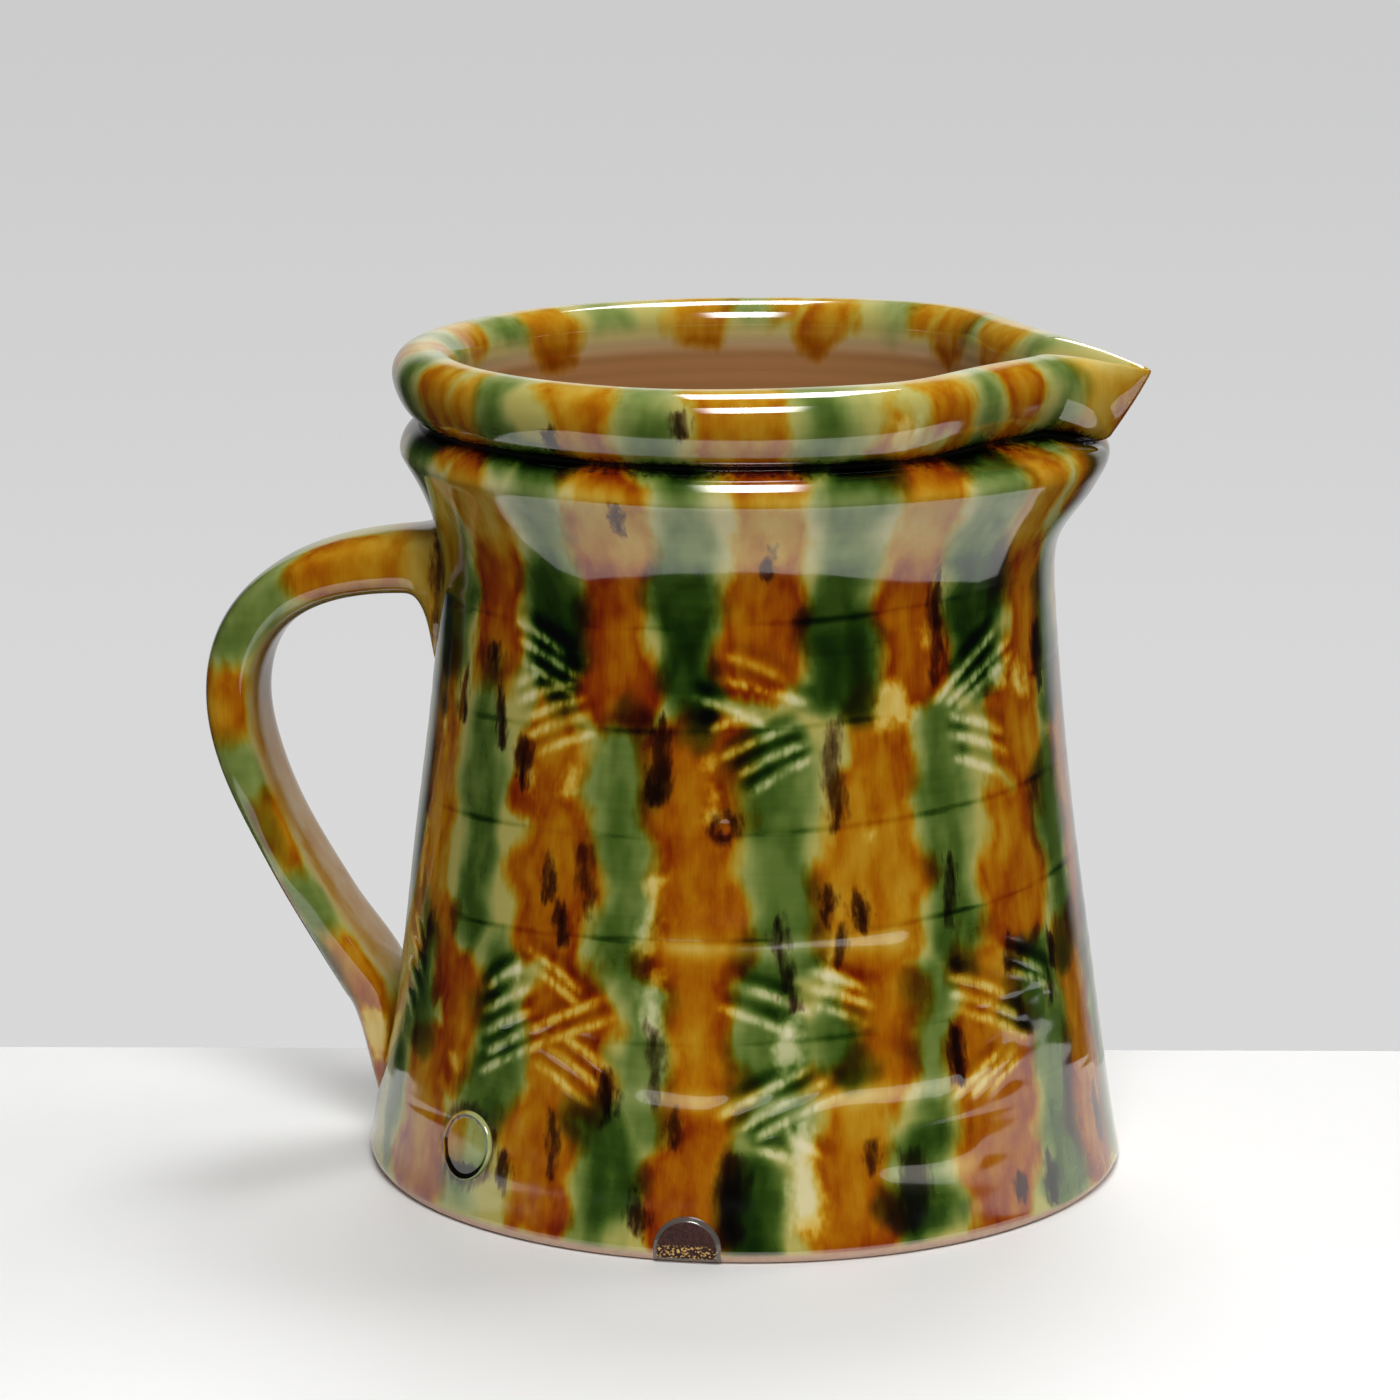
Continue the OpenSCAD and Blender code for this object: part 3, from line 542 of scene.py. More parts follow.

# What the glaze does besides its colours: thick in recesses, thin on edges, honey inside, bare at the foot.
# Some of it is painted light: painted shade in the groove under the rim, painted reflection on the cove and
# below the swellings.
# Thicker glaze in the groove under the rim: partly pooled glaze, partly painted shade
under_rim = bell(level - GROOVE_Z, 1.3) * outside
pool_and_shade = 1.2 * combed_groove * on_wall + 1.6 * under_rim
thin_and_sheen = bell(past_crest[:, None] + 0.6, 4.0)
# Painted reflection: the cove is made paler by thinning its glaze, except under the lip
cove_sheen = outside * 0.95 * band(139, 147, 158, 163, level)
thin_and_sheen = np.maximum(thin_and_sheen, cove_sheen * (1 - bell(around(-4), 16)))
thin_and_sheen = np.maximum(thin_and_sheen, strip_sheen)
honey = np.where(inside, smooth(186, 196, level), 0) * np.ones(COLUMNS)
bare = np.where(outside, smooth(2.9, 1.3, level + 0.4 * waves(4, 60, 20)), 1 - inside)
FIELDS = {
    "amber": amber, "amber_load": amber_load, "green": green, "green_load": green_load,
    "brown": brown, "brown_load": brown_load, "cream": cream, "pool_and_shade": pool_and_shade, "thin_and_sheen": thin_and_sheen,
    "honey": honey, "bare": bare, "burr": combed_burr}


def placed(name, data):
    made = bpy.data.objects.new(name, data)
    bpy.context.scene.collection.objects.link(made)
    return made


def ring_mesh(name, rings, fields):
    """Closed piece through rings of points in millimetres, with one value a point of each named field.
    A ring may have a whole number of times fewer points than the next. The first and last are closed."""
    counts = [len(ring) for ring in rings]
    starts = np.concatenate([[0], np.cumsum(counts)])
    poles = [rings[0].mean(0, keepdims=True), rings[-1].mean(0, keepdims=True)]
    first_pole, last_pole = starts[-1], starts[-1] + 1
    last = len(rings) - 1
    faces, uvs = [], []
    for i in range(last):
        low, high = counts[i], counts[i + 1]
        cells = min(low, high)
        cell = np.arange(cells)[:, None]
        ahead = cell * (low // cells) + np.arange(low // cells + 1)
        back = (cell + 1) * (high // cells) - np.arange(high // cells + 1)
        faces += np.hstack([starts[i] + ahead % low, starts[i + 1] + back % high]).tolist()
        u = np.hstack([ahead / low, back / high])
        v = np.hstack([np.full(ahead.shape, i + 1), np.full(back.shape, i + 2)]) / (last + 2)
        uvs.append(np.stack([u, v], -1).reshape(-1, 2))
    for ring, pole, v in ((0, first_pole, 0), (last, last_pole, 1)):
        j = np.arange(counts[ring])
        here, there = (j + 1, j) if ring == 0 else (j, j + 1)
        rim = [starts[ring] + here % counts[ring], starts[ring] + there % counts[ring]]
        faces += np.stack(rim + [np.full(len(j), pole)], 1).tolist()
        edge_v = (ring + 1) / (last + 2)
        u = np.stack([here, there, j + 0.5], 1) / counts[ring]
        uvs.append(np.stack([u, np.broadcast_to([edge_v, edge_v, v], u.shape)], -1).reshape(-1, 2))
    mesh = bpy.data.meshes.new(name)
    mesh.from_pydata((np.concatenate(list(rings) + poles) * MM).tolist(), [], faces)
    mesh.uv_layers.new(name="OFBake").data.foreach_set("uv", np.concatenate(uvs).ravel())
    mesh.polygons.foreach_set("use_smooth", np.ones(len(faces), bool))
    for field, values in fields.items():
        flat = np.concatenate(list(values) + [[values[0].mean()], [values[-1].mean()]])
        mesh.attributes.new(field, "FLOAT", "POINT").data.foreach_set("value", flat.astype(np.float32))
    mesh.update()
    return placed(name, mesh)


def body_rows(grid):
    """A grid over the body as rings, with fewer points underneath and in the lined part."""
    return [row if underside <= i < fine_rows else row[::COARSER] for i, row in enumerate(grid)]


jug_body = ring_mesh("jug_body", body_rows(points), {name: body_rows(f) for name, f in FIELDS.items()})
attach(jug_body, "root")
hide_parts("thrown_body", "pouring_lip")

# The handle's middle line, distance from the axis and height, nearly as in the CAD source
HANDLE_REACH = 47.1
JOIN_Z = NECK_Z - 0.4
BOW_DROP = 31.0
LOWER_JOIN_Z = 36.0
TAIL_Z = 10.0
STRAP_W = 25.0
STRAP_T = [14.5, 11.5, 10.4, 5.0]
COIL_REACH, COIL_SIDE, COIL_UP, COIL_DOWN = 9.0, 3.5, 2.5, 17.0
SMEAR_SIDE, SMEAR_DEPTH = 2.0, 0.8
STRAP_STEP = 0.9
STRAP_POINTS = 96
OVAL_POWER = 3

bow_r = NECK_R + HANDLE_REACH
bow_z = JOIN_Z - BOW_DROP
landing_r = wall_r(LOWER_JOIN_Z) + STRAP_T[2] * 0.66
bow, landing = (bow_r, bow_z), (landing_r, LOWER_JOIN_Z)
bow_curve = sweep((INNER_NECK_R, JOIN_Z), bow, (0.6, -0.07), (1, 0.225))
down_curve = sweep(bow, landing, (0, 0.31), (0.636, 0.72))
landing_slope = (down_curve[2][0] - landing_r) / (down_curve[2][1] - LOWER_JOIN_Z)
landing_step = (LOWER_JOIN_Z - TAIL_Z) * 0.2
tail_curve = [
    landing,
    (landing_r - landing_step * landing_slope, LOWER_JOIN_Z - landing_step),
    (wall_r(TAIL_Z), mix(LOWER_JOIN_Z, TAIL_Z, 0.62)),
    (wall_r(TAIL_Z) - STRAP_T[3] * 0.55, TAIL_Z)]
strap_line, strap_place = [], []
for i, curve in enumerate((bow_curve, down_curve, tail_curve)):
    steps = even_steps(curve, STRAP_STEP)
    strap_line.append(bezier(curve, steps))
    strap_place.append(i + steps)
strap_line = np.concatenate(strap_line)
strap_place = np.concatenate(strap_place)
in_clay = (strap_line[:, 0] < NECK_R - WALL_T / 2) & (strap_place < 1)
strap_line, strap_place = strap_line[~in_clay], strap_place[~in_clay]
strap_run = run_along(strap_line)[:, None]
slope = unit(np.gradient(strap_line, axis=0))
outward = np.stack([-slope[:, 1], slope[:, 0]], 1)
half_t = np.interp(strap_place, range(4), STRAP_T)[:, None] / 2

# Flat-sided oval, widened where it is luted on. The turn is 0 on the outer face and 90 on the near side.
turn = np.arange(STRAP_POINTS) * 360 / STRAP_POINTS
face = np.cos(np.radians(turn))
edge = np.sin(np.radians(turn))
face = np.sign(face) * np.abs(face) ** (2 / OVAL_POWER)
edge = np.sign(edge) * np.abs(edge) ** (2 / OVAL_POWER)
away = np.clip(strap_line[:, :1] - NECK_R, 0, COIL_REACH) / COIL_REACH
spread = np.where(strap_place[:, None] < 1, (1 - away) ** 3, 0)
smear = band(1.72, 1.98, 2.3, 2.75, strap_place)[:, None]
lift = np.where(face > 0, half_t + COIL_UP * spread, half_t + COIL_DOWN * spread + SMEAR_DEPTH * smear)
half_w = STRAP_W / 2 + COIL_SIDE * spread + SMEAR_SIDE * smear * np.clip(-face, 0, 1)
strap_wave = 0.2 * np.sin(strap_run / 9.0) + 0.15 * np.sin(strap_run / 4.3 + 1)
offset = face * (lift + 0.25 * np.sin(strap_run / 11 + 2))
strap_r = strap_line[:, :1] + outward[:, :1] * offset
strap_z = strap_line[:, 1:] + outward[:, 1:] * offset
strap_y = -edge * (half_w + strap_wave)
strap_points = np.stack([-strap_r, strap_y, strap_z], -1)

# Dabs of colour on the strap: distance along it, turn, half length, half width in degrees, load
STRAP_AMBER = [
    (3, 90, 11, 130, 0.5), (22, 75, 14, 55, 1.1), (68, 60, 7, 80, 1.1), (99, 112, 9, 36, 0.9),
    (113, 28, 12, 34, 1.0), (134, 105, 9, 42, 1.1), (147, 80, 6, 70, 1.2), (164, 45, 14, 18, 1.2),
    (162, 135, 14, 14, 1.1), (164, 90, 8, 70, 1.2), (28, -80, 16, 60, 0.9), (75, -90, 12, 60, 1.0),
    (120, -70, 12, 60, 0.9), (5, 180, 9, 70, 0.9)]
STRAP_GREEN = [
    (47, 60, 12, 75, 0.95), (84, 80, 11, 60, 0.7), (97, 70, 10, 50, 0.8), (116, 95, 9, 40, 0.8),
    (127, 45, 11, 40, 1.2), (137, 30, 9, 40, 1.0), (52, -80, 11, 70, 1.1), (98, -80, 12, 60, 1.0),
    (143, -80, 10, 60, 0.9), (40, 10, 9, 40, 0.5)]
STRAP_BROWN = [(51, 30, 7, 7, 0.9), (104, 30, 6, 14, 0.35), (0, 75, 2.5, 60, 0.7)]
STRAP_CREAM = [(148, 92, 6, 30, 1.0)]

# The strap's inner face, which the brush hardly reached
INNER_AMBER, INNER_LOAD = -0.6, 0.32


def dabbed(dabs):
    """Depth inside each dab, over the strap, and the dab's load."""
    for along, middle, half_length, half_turn, strength in dabs:
        off = signed(turn - middle) / half_turn
        yield half_length * (1 - np.hypot((strap_run - along) / half_length, off)), strength


STRAP_GRID = strap_points.shape[:2]
from_outer = np.abs(signed(turn))
inner_face = smooth(115, 150, from_outer) * smooth(2.2, 1.9, strap_place)[:, None]
strap_fields = {
    "honey": 0.75 * inner_face,
    "thin_and_sheen": 0.25 * bell(from_outer - 60, 14) * np.ones_like(strap_run),
    "cream": layered(STRAP_GRID, dabbed(STRAP_CREAM))[0]}
for field, dabs in (("amber", STRAP_AMBER), ("green", STRAP_GREEN), ("brown", STRAP_BROWN)):
    depth, load = layered(STRAP_GRID, dabbed(dabs))
    strap_fields[field] = depth - 6 * inner_face
    strap_fields[field + "_load"] = load
strap_fields["amber"] = mix(strap_fields["amber"], INNER_AMBER, inner_face)
strap_fields["amber_load"] = mix(strap_fields["amber_load"], INNER_LOAD, inner_face)
strap_handle = ring_mesh("strap_handle", strap_points, strap_fields)
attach(strap_handle, "root")
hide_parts("handle", "upper_join_coil", "lower_join_coil")

# The honey glaze inside: a thin skin on the inner wall, with throwing rings on its open side
LINING_COLUMNS = 192
LINING_STEP = 1.2
RINGS_PITCH = 4.4
skin = np.concatenate([[THROAT_FOOT], inner_rows(LINING_STEP)])
skin_slope = np.gradient(skin, axis=0)
skin_in = unit(np.stack([skin_slope[:, 1], -skin_slope[:, 0]], 1))
skin_run = run_along(skin)
thickness = LINING_T * smooth(0, 9, skin_run)
rings_left = 0.09 * np.sin(2 * np.pi * skin_run / RINGS_PITCH) * band(4, 14, 120, 150, skin_run)
back_skin = (skin + skin_in * SEAT_GAP)[::-1]
front_skin = skin + skin_in * (SEAT_GAP + 0.05 + thickness + rings_left)[:, None]
lining_turn = np.radians(np.arange(LINING_COLUMNS) * 360 / LINING_COLUMNS)
lining_points = [about_axis(r, lining_turn, z) for r, z in np.concatenate([back_skin, front_skin])]
lining = ring_mesh("honey_lining", lining_points, {})
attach(lining, "root")
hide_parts("glaze_lining")

# The plain seal pad: rings from its edge, buried in the wall, over its raised border to its dish
SEAL_POINTS = 72
SEAL_SECTION = [
    (1.0, -3.0), (1.0, -0.2), (0.985, 0.3), (0.965, 0.6), (0.94, 0.72), (0.91, 0.66),
    (0.88, 0.4), (0.85, 0.26), (0.78, 0.26), (0.6, 0.34), (0.4, 0.4), (0.2, 0.42)]
SEAL_BORDER, SEAL_INSIDE = 0.95, 0.87
seal_turn = np.radians(np.arange(SEAL_POINTS) * 360 / SEAL_POINTS)
level_up = np.sin(seal_turn)
press = 1 + 0.025 * np.sin(2 * seal_turn + 0.6) + 0.015 * np.sin(3 * seal_turn)
ones = np.ones(SEAL_POINTS)
seal_rings, seal_fields = [], {}
for share, proud in SEAL_SECTION:
    side = share * SEAL_R * press * np.cos(seal_turn)
    z = SEAL_Z + share * SEAL_R * press * level_up
    r = wall_r(z) + proud
    angle = np.radians(SEAL_ANGLE) + side / wall_r(SEAL_Z)
    seal_rings.append(about_axis(r, angle, z))
    foot_pool = smooth(0.0, -0.7, level_up * share)
    foot_dark = smooth(-0.42, -0.66, level_up * share) * (share < 0.92)
    here = {
        "amber": -2.5 - side * 0.5, "amber_load": 0.7 * ones,
        "green": 1.0 + side * 0.35 - level_up, "green_load": 0.3 * ones,
        "brown": 2.8 * bell(share - SEAL_INSIDE, 0.035) - 2.2 + 3.4 * foot_dark, "brown_load": ones,
        "pool_and_shade": 1.2 * bell(share - SEAL_INSIDE, 0.06) + 1.4 * foot_pool,
        "thin_and_sheen": 0.6 * bell(share - SEAL_BORDER, 0.04) * ones, "cream": NOWHERE * ones}
    for name, values in here.items():
        seal_fields.setdefault(name, []).append(values)
seal_pad = ring_mesh("plain_seal_pad", seal_rings, seal_fields)
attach(seal_pad, "root")
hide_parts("seal_pad")

# The thick drop of glaze at the foot, ground flat: a half moon whose edge slopes back to the wall
BEAD_R = 7.3
BEAD_PROUD = 0.3
BEAD_POINTS = 64
BEAD_LOW = -0.26
MOON_MIDDLE = (0, 0.34)
half_round = arc((0, 0), 1, 0, 180, BEAD_POINTS * 3 // 4)
chord = straight((-0.97, BEAD_LOW), (0.97, BEAD_LOW), np.linspace(0, 1, BEAD_POINTS // 4))
moon = np.concatenate([half_round, chord])
BEAD_SECTION = [
    (-7.0, 1.0), (-1.2, 1.0), (-0.7, 0.975), (-0.28, 0.9), (-0.06, 0.84), (0.0, 0.79), (0.0, 0.5),
    (0.0, 0.2)]
BEAD_FACE_SHARE = 0.86
bead_rings, bead_face = [], []
for proud, share in BEAD_SECTION:
    ring = mix(MOON_MIDDLE, moon, share) * BEAD_R
    bead_rings.append(np.stack(
        [ring[:, 0], np.full(len(ring), -(FOOT_R + BEAD_PROUD + proud)), ring[:, 1] + FOOT_ROUND], 1))
    bead_face.append(np.full(len(ring), float(share < BEAD_FACE_SHARE)))
bead = ring_mesh("ground_glaze_drop", bead_rings, {"ground": bead_face})
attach(bead, "root")
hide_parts("glaze_bead")


# Places of the Mix node's sockets for colours
FIRST_COLOUR, SECOND_COLOUR, MIXED_COLOUR = 6, 7, 2


class Graph:
    """A material's nodes. Each call returns the socket that others plug into."""

    def __init__(self, tree):
        self.tree = tree

    def node(self, kind, values=(), **settings):
        made = self.tree.nodes.new("ShaderNode" + kind)
        for name, value in settings.items():
            setattr(made, name, value)
        self.fill(made, values)
        return made

    def fill(self, node, values):
        for place, value in dict(values).items():
            self.plug(node.inputs[place], value)

    def plug(self, socket, value):
        if isinstance(value, bpy.types.NodeSocket):
            self.tree.links.new(value, socket)
        else:
            socket.default_value = value

    def math(self, operation, *values):
        return self.node("Math", enumerate(values), operation=operation).outputs[0]

    def product(self, first, *others):
        for other in others:
            first = self.math("MULTIPLY", first, other)
        return first

    def times_plus(self, value, factor, extra):
        return self.math("MULTIPLY_ADD", value, factor, extra)

    def vector(self, operation, *values):
        return self.node("VectorMath", enumerate(values), operation=operation).outputs[0]

    def scaled(self, vector, factor):
        return self.node("VectorMath", {"Vector": vector, "Scale": factor}, operation="SCALE").outputs[0]

    def parts(self, vector):
        return self.node("SeparateXYZ", {0: vector}).outputs

    def field(self, name):
        return self.node("Attribute", attribute_name=name).outputs["Fac"]

    def noise(self, size, detail=2.0, rough=0.5):
        """Noise over the piece, whose cells have a size in millimetres along each axis."""
        place = self.node("TexCoord").outputs["Object"]
        cells = self.node("Mapping", {"Vector": place, "Scale": [1 / (s * MM) for s in size]}).outputs[0]
        values = {"Vector": cells, "Scale": 1.0, "Detail": detail, "Roughness": rough}
        return self.node("TexNoise", values).outputs["Fac"]

    def spread(self, low, high, value, to_low=0.0, to_high=1.0):
        """A soft step: to_low up to low, to_high from high on."""
        values = {"Value": value, "From Min": low, "From Max": high, "To Min": to_low, "To Max": to_high}
        return self.node("MapRange", values, interpolation_type="SMOOTHSTEP").outputs[0]

    def bell(self, value, width):
        share = self.math("MULTIPLY", value, 1 / width)
        return self.math("EXPONENT", self.product(share, share, -1.0))

    def blend(self, share, first, second):
        values = {"Factor": share, FIRST_COLOUR: first, SECOND_COLOUR: second}
        return self.node("Mix", values, data_type="RGBA").outputs[MIXED_COLOUR]


def new_material(name):
    material = bpy.data.materials.new(name)
    material.use_nodes = True
    return material, Graph(material.node_tree), material.node_tree.nodes["Principled BSDF"]


# Linear colours of the clay under the glaze, and how much each oxide takes of red, green and blue
CREAM_SLIP = (0.68, 0.61, 0.41, 1)
HONEY_GROUND = (0.25, 0.118, 0.043, 1)
BARE_CLAY = (0.42, 0.25, 0.18, 1)
PALE_CLAY = (0.62, 0.42, 0.29, 1)
AMBER_TAKES = (0.44, 1.22, 4.4)
GREEN_TAKES = (1.44, 1.02, 1.85)
BROWN_TAKES = (3.3, 4.1, 4.3)
GLAZE_IOR = 1.9


def glaze_material(name, turned):
    """Clear gloss glaze over cream slip, coloured by the piece's fields. Turned clay has a turning line."""
    material, g, shader = new_material(name)
    fringe = g.noise((1.3, 1.3, 4.5), 3.0)
    broad = g.noise((6, 6, 12))
    cloud = g.noise((11, 11, 17))
    streak = g.noise((0.5, 0.5, 11), 3.0, 0.6)
    fleck = g.noise((4, 4, 6), 2.0, 0.45)
    flow = g.noise((6, 6, 30))
    edge = g.times_plus(fringe, 2.4, g.times_plus(broad, 9.0, -5.7))
    soft_edge = g.times_plus(fringe, 0.8, g.times_plus(cloud, 10.0, -5.4))

    ridge = g.product(
        g.field("burr"), g.spread(0.30, 0.58, fringe, 0.6, 1.0), g.spread(0.36, 0.58, fleck, 0.6, 1.0))
    green_thick_and_shade = g.math("ADD", 1.0, g.field("pool_and_shade"))
    amber_thick_and_shade = g.times_plus(g.field("pool_and_shade"), 0.25, 1.0)
    relief = g.product(ridge, 0.07)
    if turned:
        place = g.parts(g.node("TexCoord").outputs["Object"])
        angle = g.math("ARCTAN2", place[1], place[0])
        turns = g.times_plus(place[2], 1 / (TURN_PITCH * MM), TURN_PHASE)
        turns = g.times_plus(angle, -1 / (2 * math.pi), turns)
        off_line = g.product(g.math("PINGPONG", turns, 0.5), TURN_PITCH)
        broken = g.spread(0.42, 0.6, g.noise((24, 24, 3)), 0.1, 1.0)
        low_down = g.spread(141 * MM, 130 * MM, place[2])
        high_up = g.spread(40 * MM, 50 * MM, place[2])
        line = g.product(g.bell(off_line, 0.65), broken, low_down, high_up)
        green_thick_and_shade = g.times_plus(line, 0.75, green_thick_and_shade)
        amber_thick_and_shade = g.times_plus(line, 0.30, amber_thick_and_shade)
        relief = g.times_plus(line, -0.04, relief)
    missing = g.times_plus(g.noise((2.6, 2.6, 4.0)), 6.0, -3.0)
    missed = g.spread(-1.8, 2.2, g.math("ADD", g.field("cream"), missing), 1.0, 0.22)
    # Thin glaze on edges pales the colour, and so do the painted reflections on the cove and below the
    # swellings
    thinned_and_sheen = g.times_plus(g.field("thin_and_sheen"), -0.62, 1.0)
    bared_and_sheen = g.product(g.spread(0.05, 0.95, ridge, 1.0, 0.24), thinned_and_sheen, missed)
    tooled = g.noise((30, 30, 1.3), 3.0)
    green_thick_and_shade = g.product(green_thick_and_shade, g.spread(0.3, 0.7, tooled, 0.96, 1.04))

    amber_depth = g.math("ADD", g.field("amber"), edge)
    amber_cover = g.spread(-3.9, 0.9, amber_depth)
    amber_rim = g.bell(g.math("SUBTRACT", amber_depth, 1.0), 2.0)
    amber_part = g.product(
        amber_cover, g.field("amber_load"), g.spread(0.28, 0.74, streak, 0.92, 1.09),
        g.spread(0.32, 0.68, fleck, 0.84, 1.14), g.spread(0.30, 0.70, cloud, 0.72, 1.22),
        g.spread(0.28, 0.72, flow, 0.72, 1.28), g.times_plus(amber_rim, 0.28, 0.88))
    green_depth = g.math("ADD", g.field("green"), soft_edge)
    green_part = g.product(
        g.spread(-2.8, 5.2, green_depth), g.field("green_load"), g.spread(0.3, 0.72, broad, 0.74, 1.22))
    brown_depth = g.times_plus(g.math("SUBTRACT", fringe, 0.5), 5.2, g.field("brown"))
    brown_part = g.product(g.spread(-1.6, 2.2, brown_depth, 0.0, 1.1), g.field("brown_load"))

    # A faint wash of both colours over all the slip
    slipped = g.spread(0.0, 1.0, g.field("honey"), 1.0, 0.0)
    amber_part = g.times_plus(g.spread(-3.0, 2.5, green_depth, 0.20, 0.07), slipped, amber_part)
    veil = g.product(g.spread(0.0, 1.0, amber_cover, 0.34, 0.10), slipped)
    green_part = g.math("ADD", green_part, veil)
    amber_part = g.product(amber_part, amber_thick_and_shade, bared_and_sheen)
    green_part = g.product(green_part, green_thick_and_shade, bared_and_sheen)

    # What the colours take away from the light that the clay sends back
    taken = g.vector("ADD", g.scaled(AMBER_TAKES, amber_part), g.scaled(GREEN_TAKES, green_part))
    taken = g.vector("ADD", taken, g.scaled(BROWN_TAKES, brown_part))
    taken = g.parts(g.scaled(taken, -1.0))
    passed = g.node("CombineXYZ", {i: g.math("EXPONENT", taken[i]) for i in range(3)}).outputs[0]
    ground = g.blend(g.field("honey"), CREAM_SLIP, HONEY_GROUND)
    colour = g.vector("MULTIPLY", ground, passed)
    colour = g.blend(g.field("bare"), colour, g.blend(fringe, BARE_CLAY, PALE_CLAY))

    gloss = g.spread(0.3, 0.7, broad, 0.05, 0.10)
    height = g.times_plus(cloud, 0.10, relief)
    g.fill(shader, {
        "Base Color": colour,
        "Roughness": g.spread(0.2, 0.9, g.field("bare"), gloss, 0.6),
        "Specular IOR Level": g.spread(0.2, 0.7, g.field("honey"), 0.5, 0.10),
        "IOR": GLAZE_IOR,
        "Normal": g.node("Bump", {"Strength": 0.35, "Distance": MM, "Height": height}).outputs["Normal"]})
    return material


HONEY_RING, HONEY_PALE = (0.19, 0.087, 0.034, 1), (0.25, 0.12, 0.049, 1)
HONEY_CLOUD = (0.18, 0.085, 0.034, 1)


def honey_material():
    """Clear honey glaze inside, with the throwing rings a little darker."""
    material, g, shader = new_material("honey_glaze")
    rings = g.noise((60, 60, 2.2))
    cloud = g.noise((22, 22, 22), 3.0)
    colour = g.blend(g.spread(0.32, 0.68, rings), HONEY_RING, HONEY_PALE)
    colour = g.blend(g.spread(0.5, 0.75, cloud, 0.0, 0.5), colour, HONEY_CLOUD)
    roughness = g.spread(0.3, 0.7, cloud, 0.10, 0.20)
    g.fill(shader, {"Base Color": colour, "Roughness": roughness, "IOR": GLAZE_IOR})
    return material


# The grey of the drop's edge is a painted reflection
DROP_DARK, DROP_MAROON = (0.022, 0.006, 0.004, 1), (0.055, 0.018, 0.013, 1)
DROP_SPECK, DROP_EDGE_SHEEN = (0.55, 0.34, 0.10, 1), (0.09, 0.08, 0.07, 1)


def drop_material():
    """Dark maroon glaze: ground dull on its face, glossy on its edge with a painted grey reflection, golden
    specks low down.
    """
    material, g, shader = new_material("dark_glaze_drop")
    grind = g.noise((0.5, 0.5, 0.5), 3.0)
    ground = g.field("ground")
    face = g.blend(g.spread(0.35, 0.7, grind), DROP_DARK, DROP_MAROON)
    height = g.parts(g.node("TexCoord").outputs["Object"])[2]
    low_band = g.product(g.spread(4.4 * MM, 3.4 * MM, height), g.spread(0.53, 0.62, grind))
    face = g.blend(low_band, face, DROP_SPECK)
    g.fill(shader, {
        "Base Color": g.blend(ground, DROP_EDGE_SHEEN, face),
        "Roughness": g.spread(0.2, 0.9, ground, 0.08, 0.7),
        "Specular IOR Level": g.spread(0.2, 0.9, ground, 0.5, 0.15),
        "IOR": GLAZE_IOR})
    return material


turned_glaze = glaze_material("turned_glaze", True)
pulled_glaze = glaze_material("pulled_glaze", False)
for piece, material in ((jug_body, turned_glaze), (seal_pad, pulled_glaze), (strap_handle, pulled_glaze),
                        (lining, honey_material()), (bead, drop_material())):
    piece.data.materials.append(material)

# The camera, fitted to the photograph
PHOTO_PX = 1400
FOCAL_PX = 5106.93
SENSOR = 36.0
CAMERA_TILT, CAMERA_TURN = 12.343, 9.0
CAMERA_AT = (159.8, -1073.6, 338.9)
camera_data = bpy.data.cameras.new("camera")
camera_data.sensor_fit = "HORIZONTAL"
camera_data.sensor_width = SENSOR
camera_data.lens = SENSOR * FOCAL_PX / PHOTO_PX
camera = placed("camera", camera_data)
camera.location = Vector(CAMERA_AT) * MM
camera.rotation_euler = (math.radians(90 - CAMERA_TILT), 0, math.radians(CAMERA_TURN))
bpy.context.scene.camera = camera

# A pale table whose far edge lies just behind the jug, square to the camera
TABLE_T = 30.0
TABLE_TURN = math.radians(CAMERA_TURN - 0.6)
TABLE_DIM, TABLE_PALE = (0.745, 0.745, 0.74, 1), (0.765, 0.765, 0.76, 1)
corners = [
    (-180, 77), (-205, 38), (-238, -14), (-262, -97), (-250, -155), (-165, -200), (-60, -226),
    (60, -226), (165, -200), (260, -155), (355, -70), (412, 0), (400, 77)]
count = len(corners)
table_mesh = bpy.data.meshes.new("table")
table_mesh.from_pydata(
    [(x * MM, y * MM, z * MM) for z in (-TABLE_T, 0) for x, y in corners], [],
    [tuple(reversed(range(count))), tuple(range(count, 2 * count))]
    + [(i, (i + 1) % count, count + (i + 1) % count, count + i) for i in range(count)])
table = placed("table", table_mesh)
table.rotation_euler = (0, 0, TABLE_TURN)
table_material, g, shader = new_material("white_table")
g.fill(shader, {"Base Color": g.blend(g.noise((40, 40, 40), 3.0), TABLE_DIM, TABLE_PALE), "Roughness": 0.6})
table_mesh.materials.append(table_material)

# Soft lamps: place to the camera's right, away from it and up; target; width, depth, power
LAMPS = {
    "overhead": ((85, 640, 1410), (0, 0, 170), 510, 700, 11.5),
    "key": ((10, -984, 1220), (0, 0, 90), 860, 600, 27.0),
    "fill": ((150, -1400, 950), (0, 0, 80), 1200, 1000, 10.0),
    "right": ((1300, 450, 750), (0, 0, 90), 500, 700, 8.2),
    "left": ((-1300, 600, 600), (0, 0, 90), 600, 900, 0.8)}

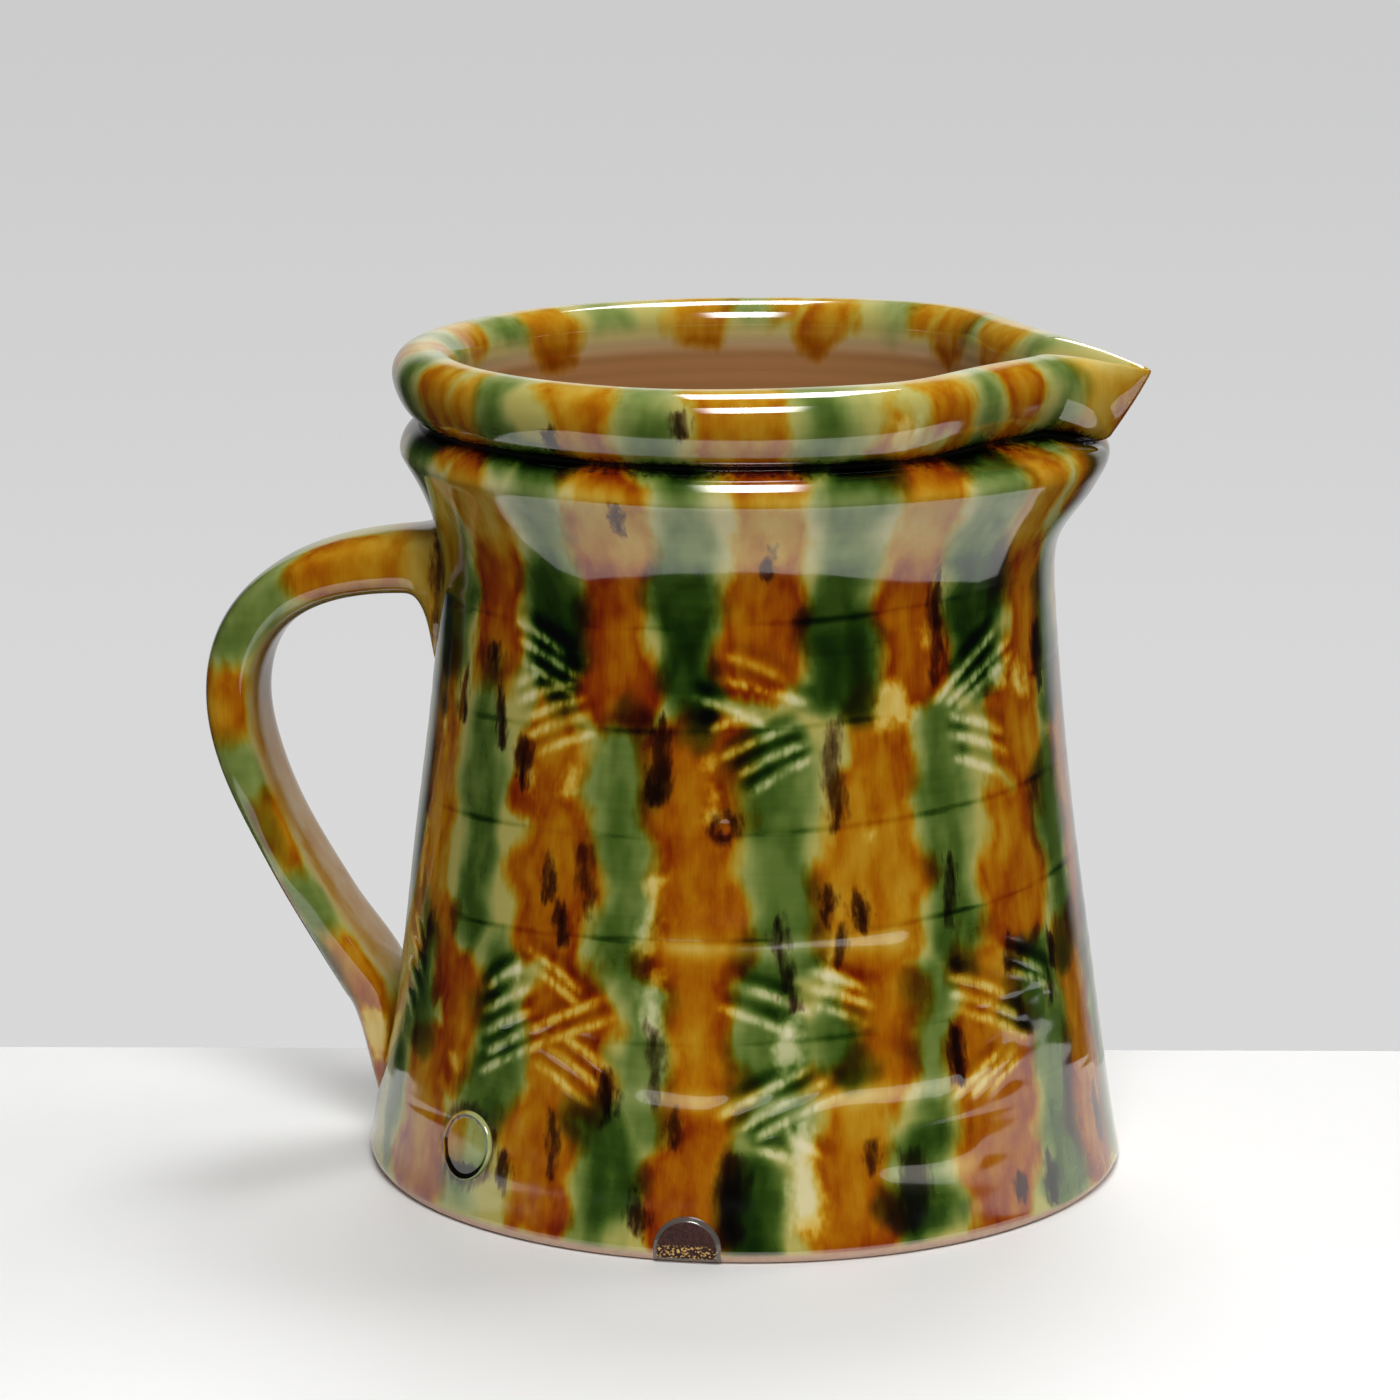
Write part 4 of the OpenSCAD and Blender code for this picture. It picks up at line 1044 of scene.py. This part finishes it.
# Share of the key's width over which it fades at each side, and the lamps that no glaze shows
KEY_SOFT = 0.34
UNREFLECTED = ("fill", "right", "left")
square_on = Matrix.Rotation(math.radians(CAMERA_TURN), 3, "Z")
for name, (place, target, width, depth, power) in LAMPS.items():
    lamp_data = bpy.data.lights.new(name, "AREA")
    lamp_data.shape = "RECTANGLE"
    lamp_data.size = width * MM
    lamp_data.size_y = depth * MM
    lamp_data.energy = power
    if name == "key":
        lamp_data.use_nodes = True
        g = Graph(lamp_data.node_tree)
        across = g.parts(g.node("NewGeometry").outputs["Parametric"])[0]
        dimmer = g.product(g.spread(0.02, KEY_SOFT, across), g.spread(0.98, 1 - KEY_SOFT, across))
        g.plug(lamp_data.node_tree.nodes["Emission"].inputs["Strength"], dimmer)
    lamp = placed(name, lamp_data)
    lamp.visible_camera = False
    lamp.visible_glossy = name not in UNREFLECTED
    lamp.location = square_on @ Vector(place) * MM
    aim = square_on @ (Vector(target) - Vector(place))
    lamp.rotation_euler = aim.to_track_quat("-Z", "Y").to_euler()

# The studio: a pale grey backdrop for the camera, and for the rest bright behind and beside, dim in front
world = bpy.data.worlds.new("studio")
bpy.context.scene.world = world
world.use_nodes = True
w = Graph(world.node_tree)
background = world.node_tree.nodes["Background"]
direction = w.parts(w.node("TexCoord").outputs["Generated"])
seen = w.node("LightPath").outputs["Is Camera Ray"]
BACKDROP_LOW, BACKDROP_HIGH = (0.69, 0.69, 0.69, 1), (0.60, 0.60, 0.605, 1)
backdrop = w.blend(w.spread(-0.24, -0.06, direction[2]), BACKDROP_LOW, BACKDROP_HIGH)


def towards(right, back):
    """How far a direction points to the right and to the back, with a weight for each."""
    return w.times_plus(direction[0], right, w.product(direction[1], back))


light_right = w.spread(0.89, 0.985, towards(0.09, 1.03), 0.015, 0.66)
light_left = w.spread(0.93, 0.985, towards(-0.36, 0.93), 0.0, 0.5)
behind = w.math("MAXIMUM", light_right, light_left)
room = w.node("CombineXYZ", {0: behind, 1: behind, 2: behind}).outputs[0]
w.plug(background.inputs["Color"], w.blend(seen, room, backdrop))

bpy.context.scene.view_settings.view_transform = "Standard"
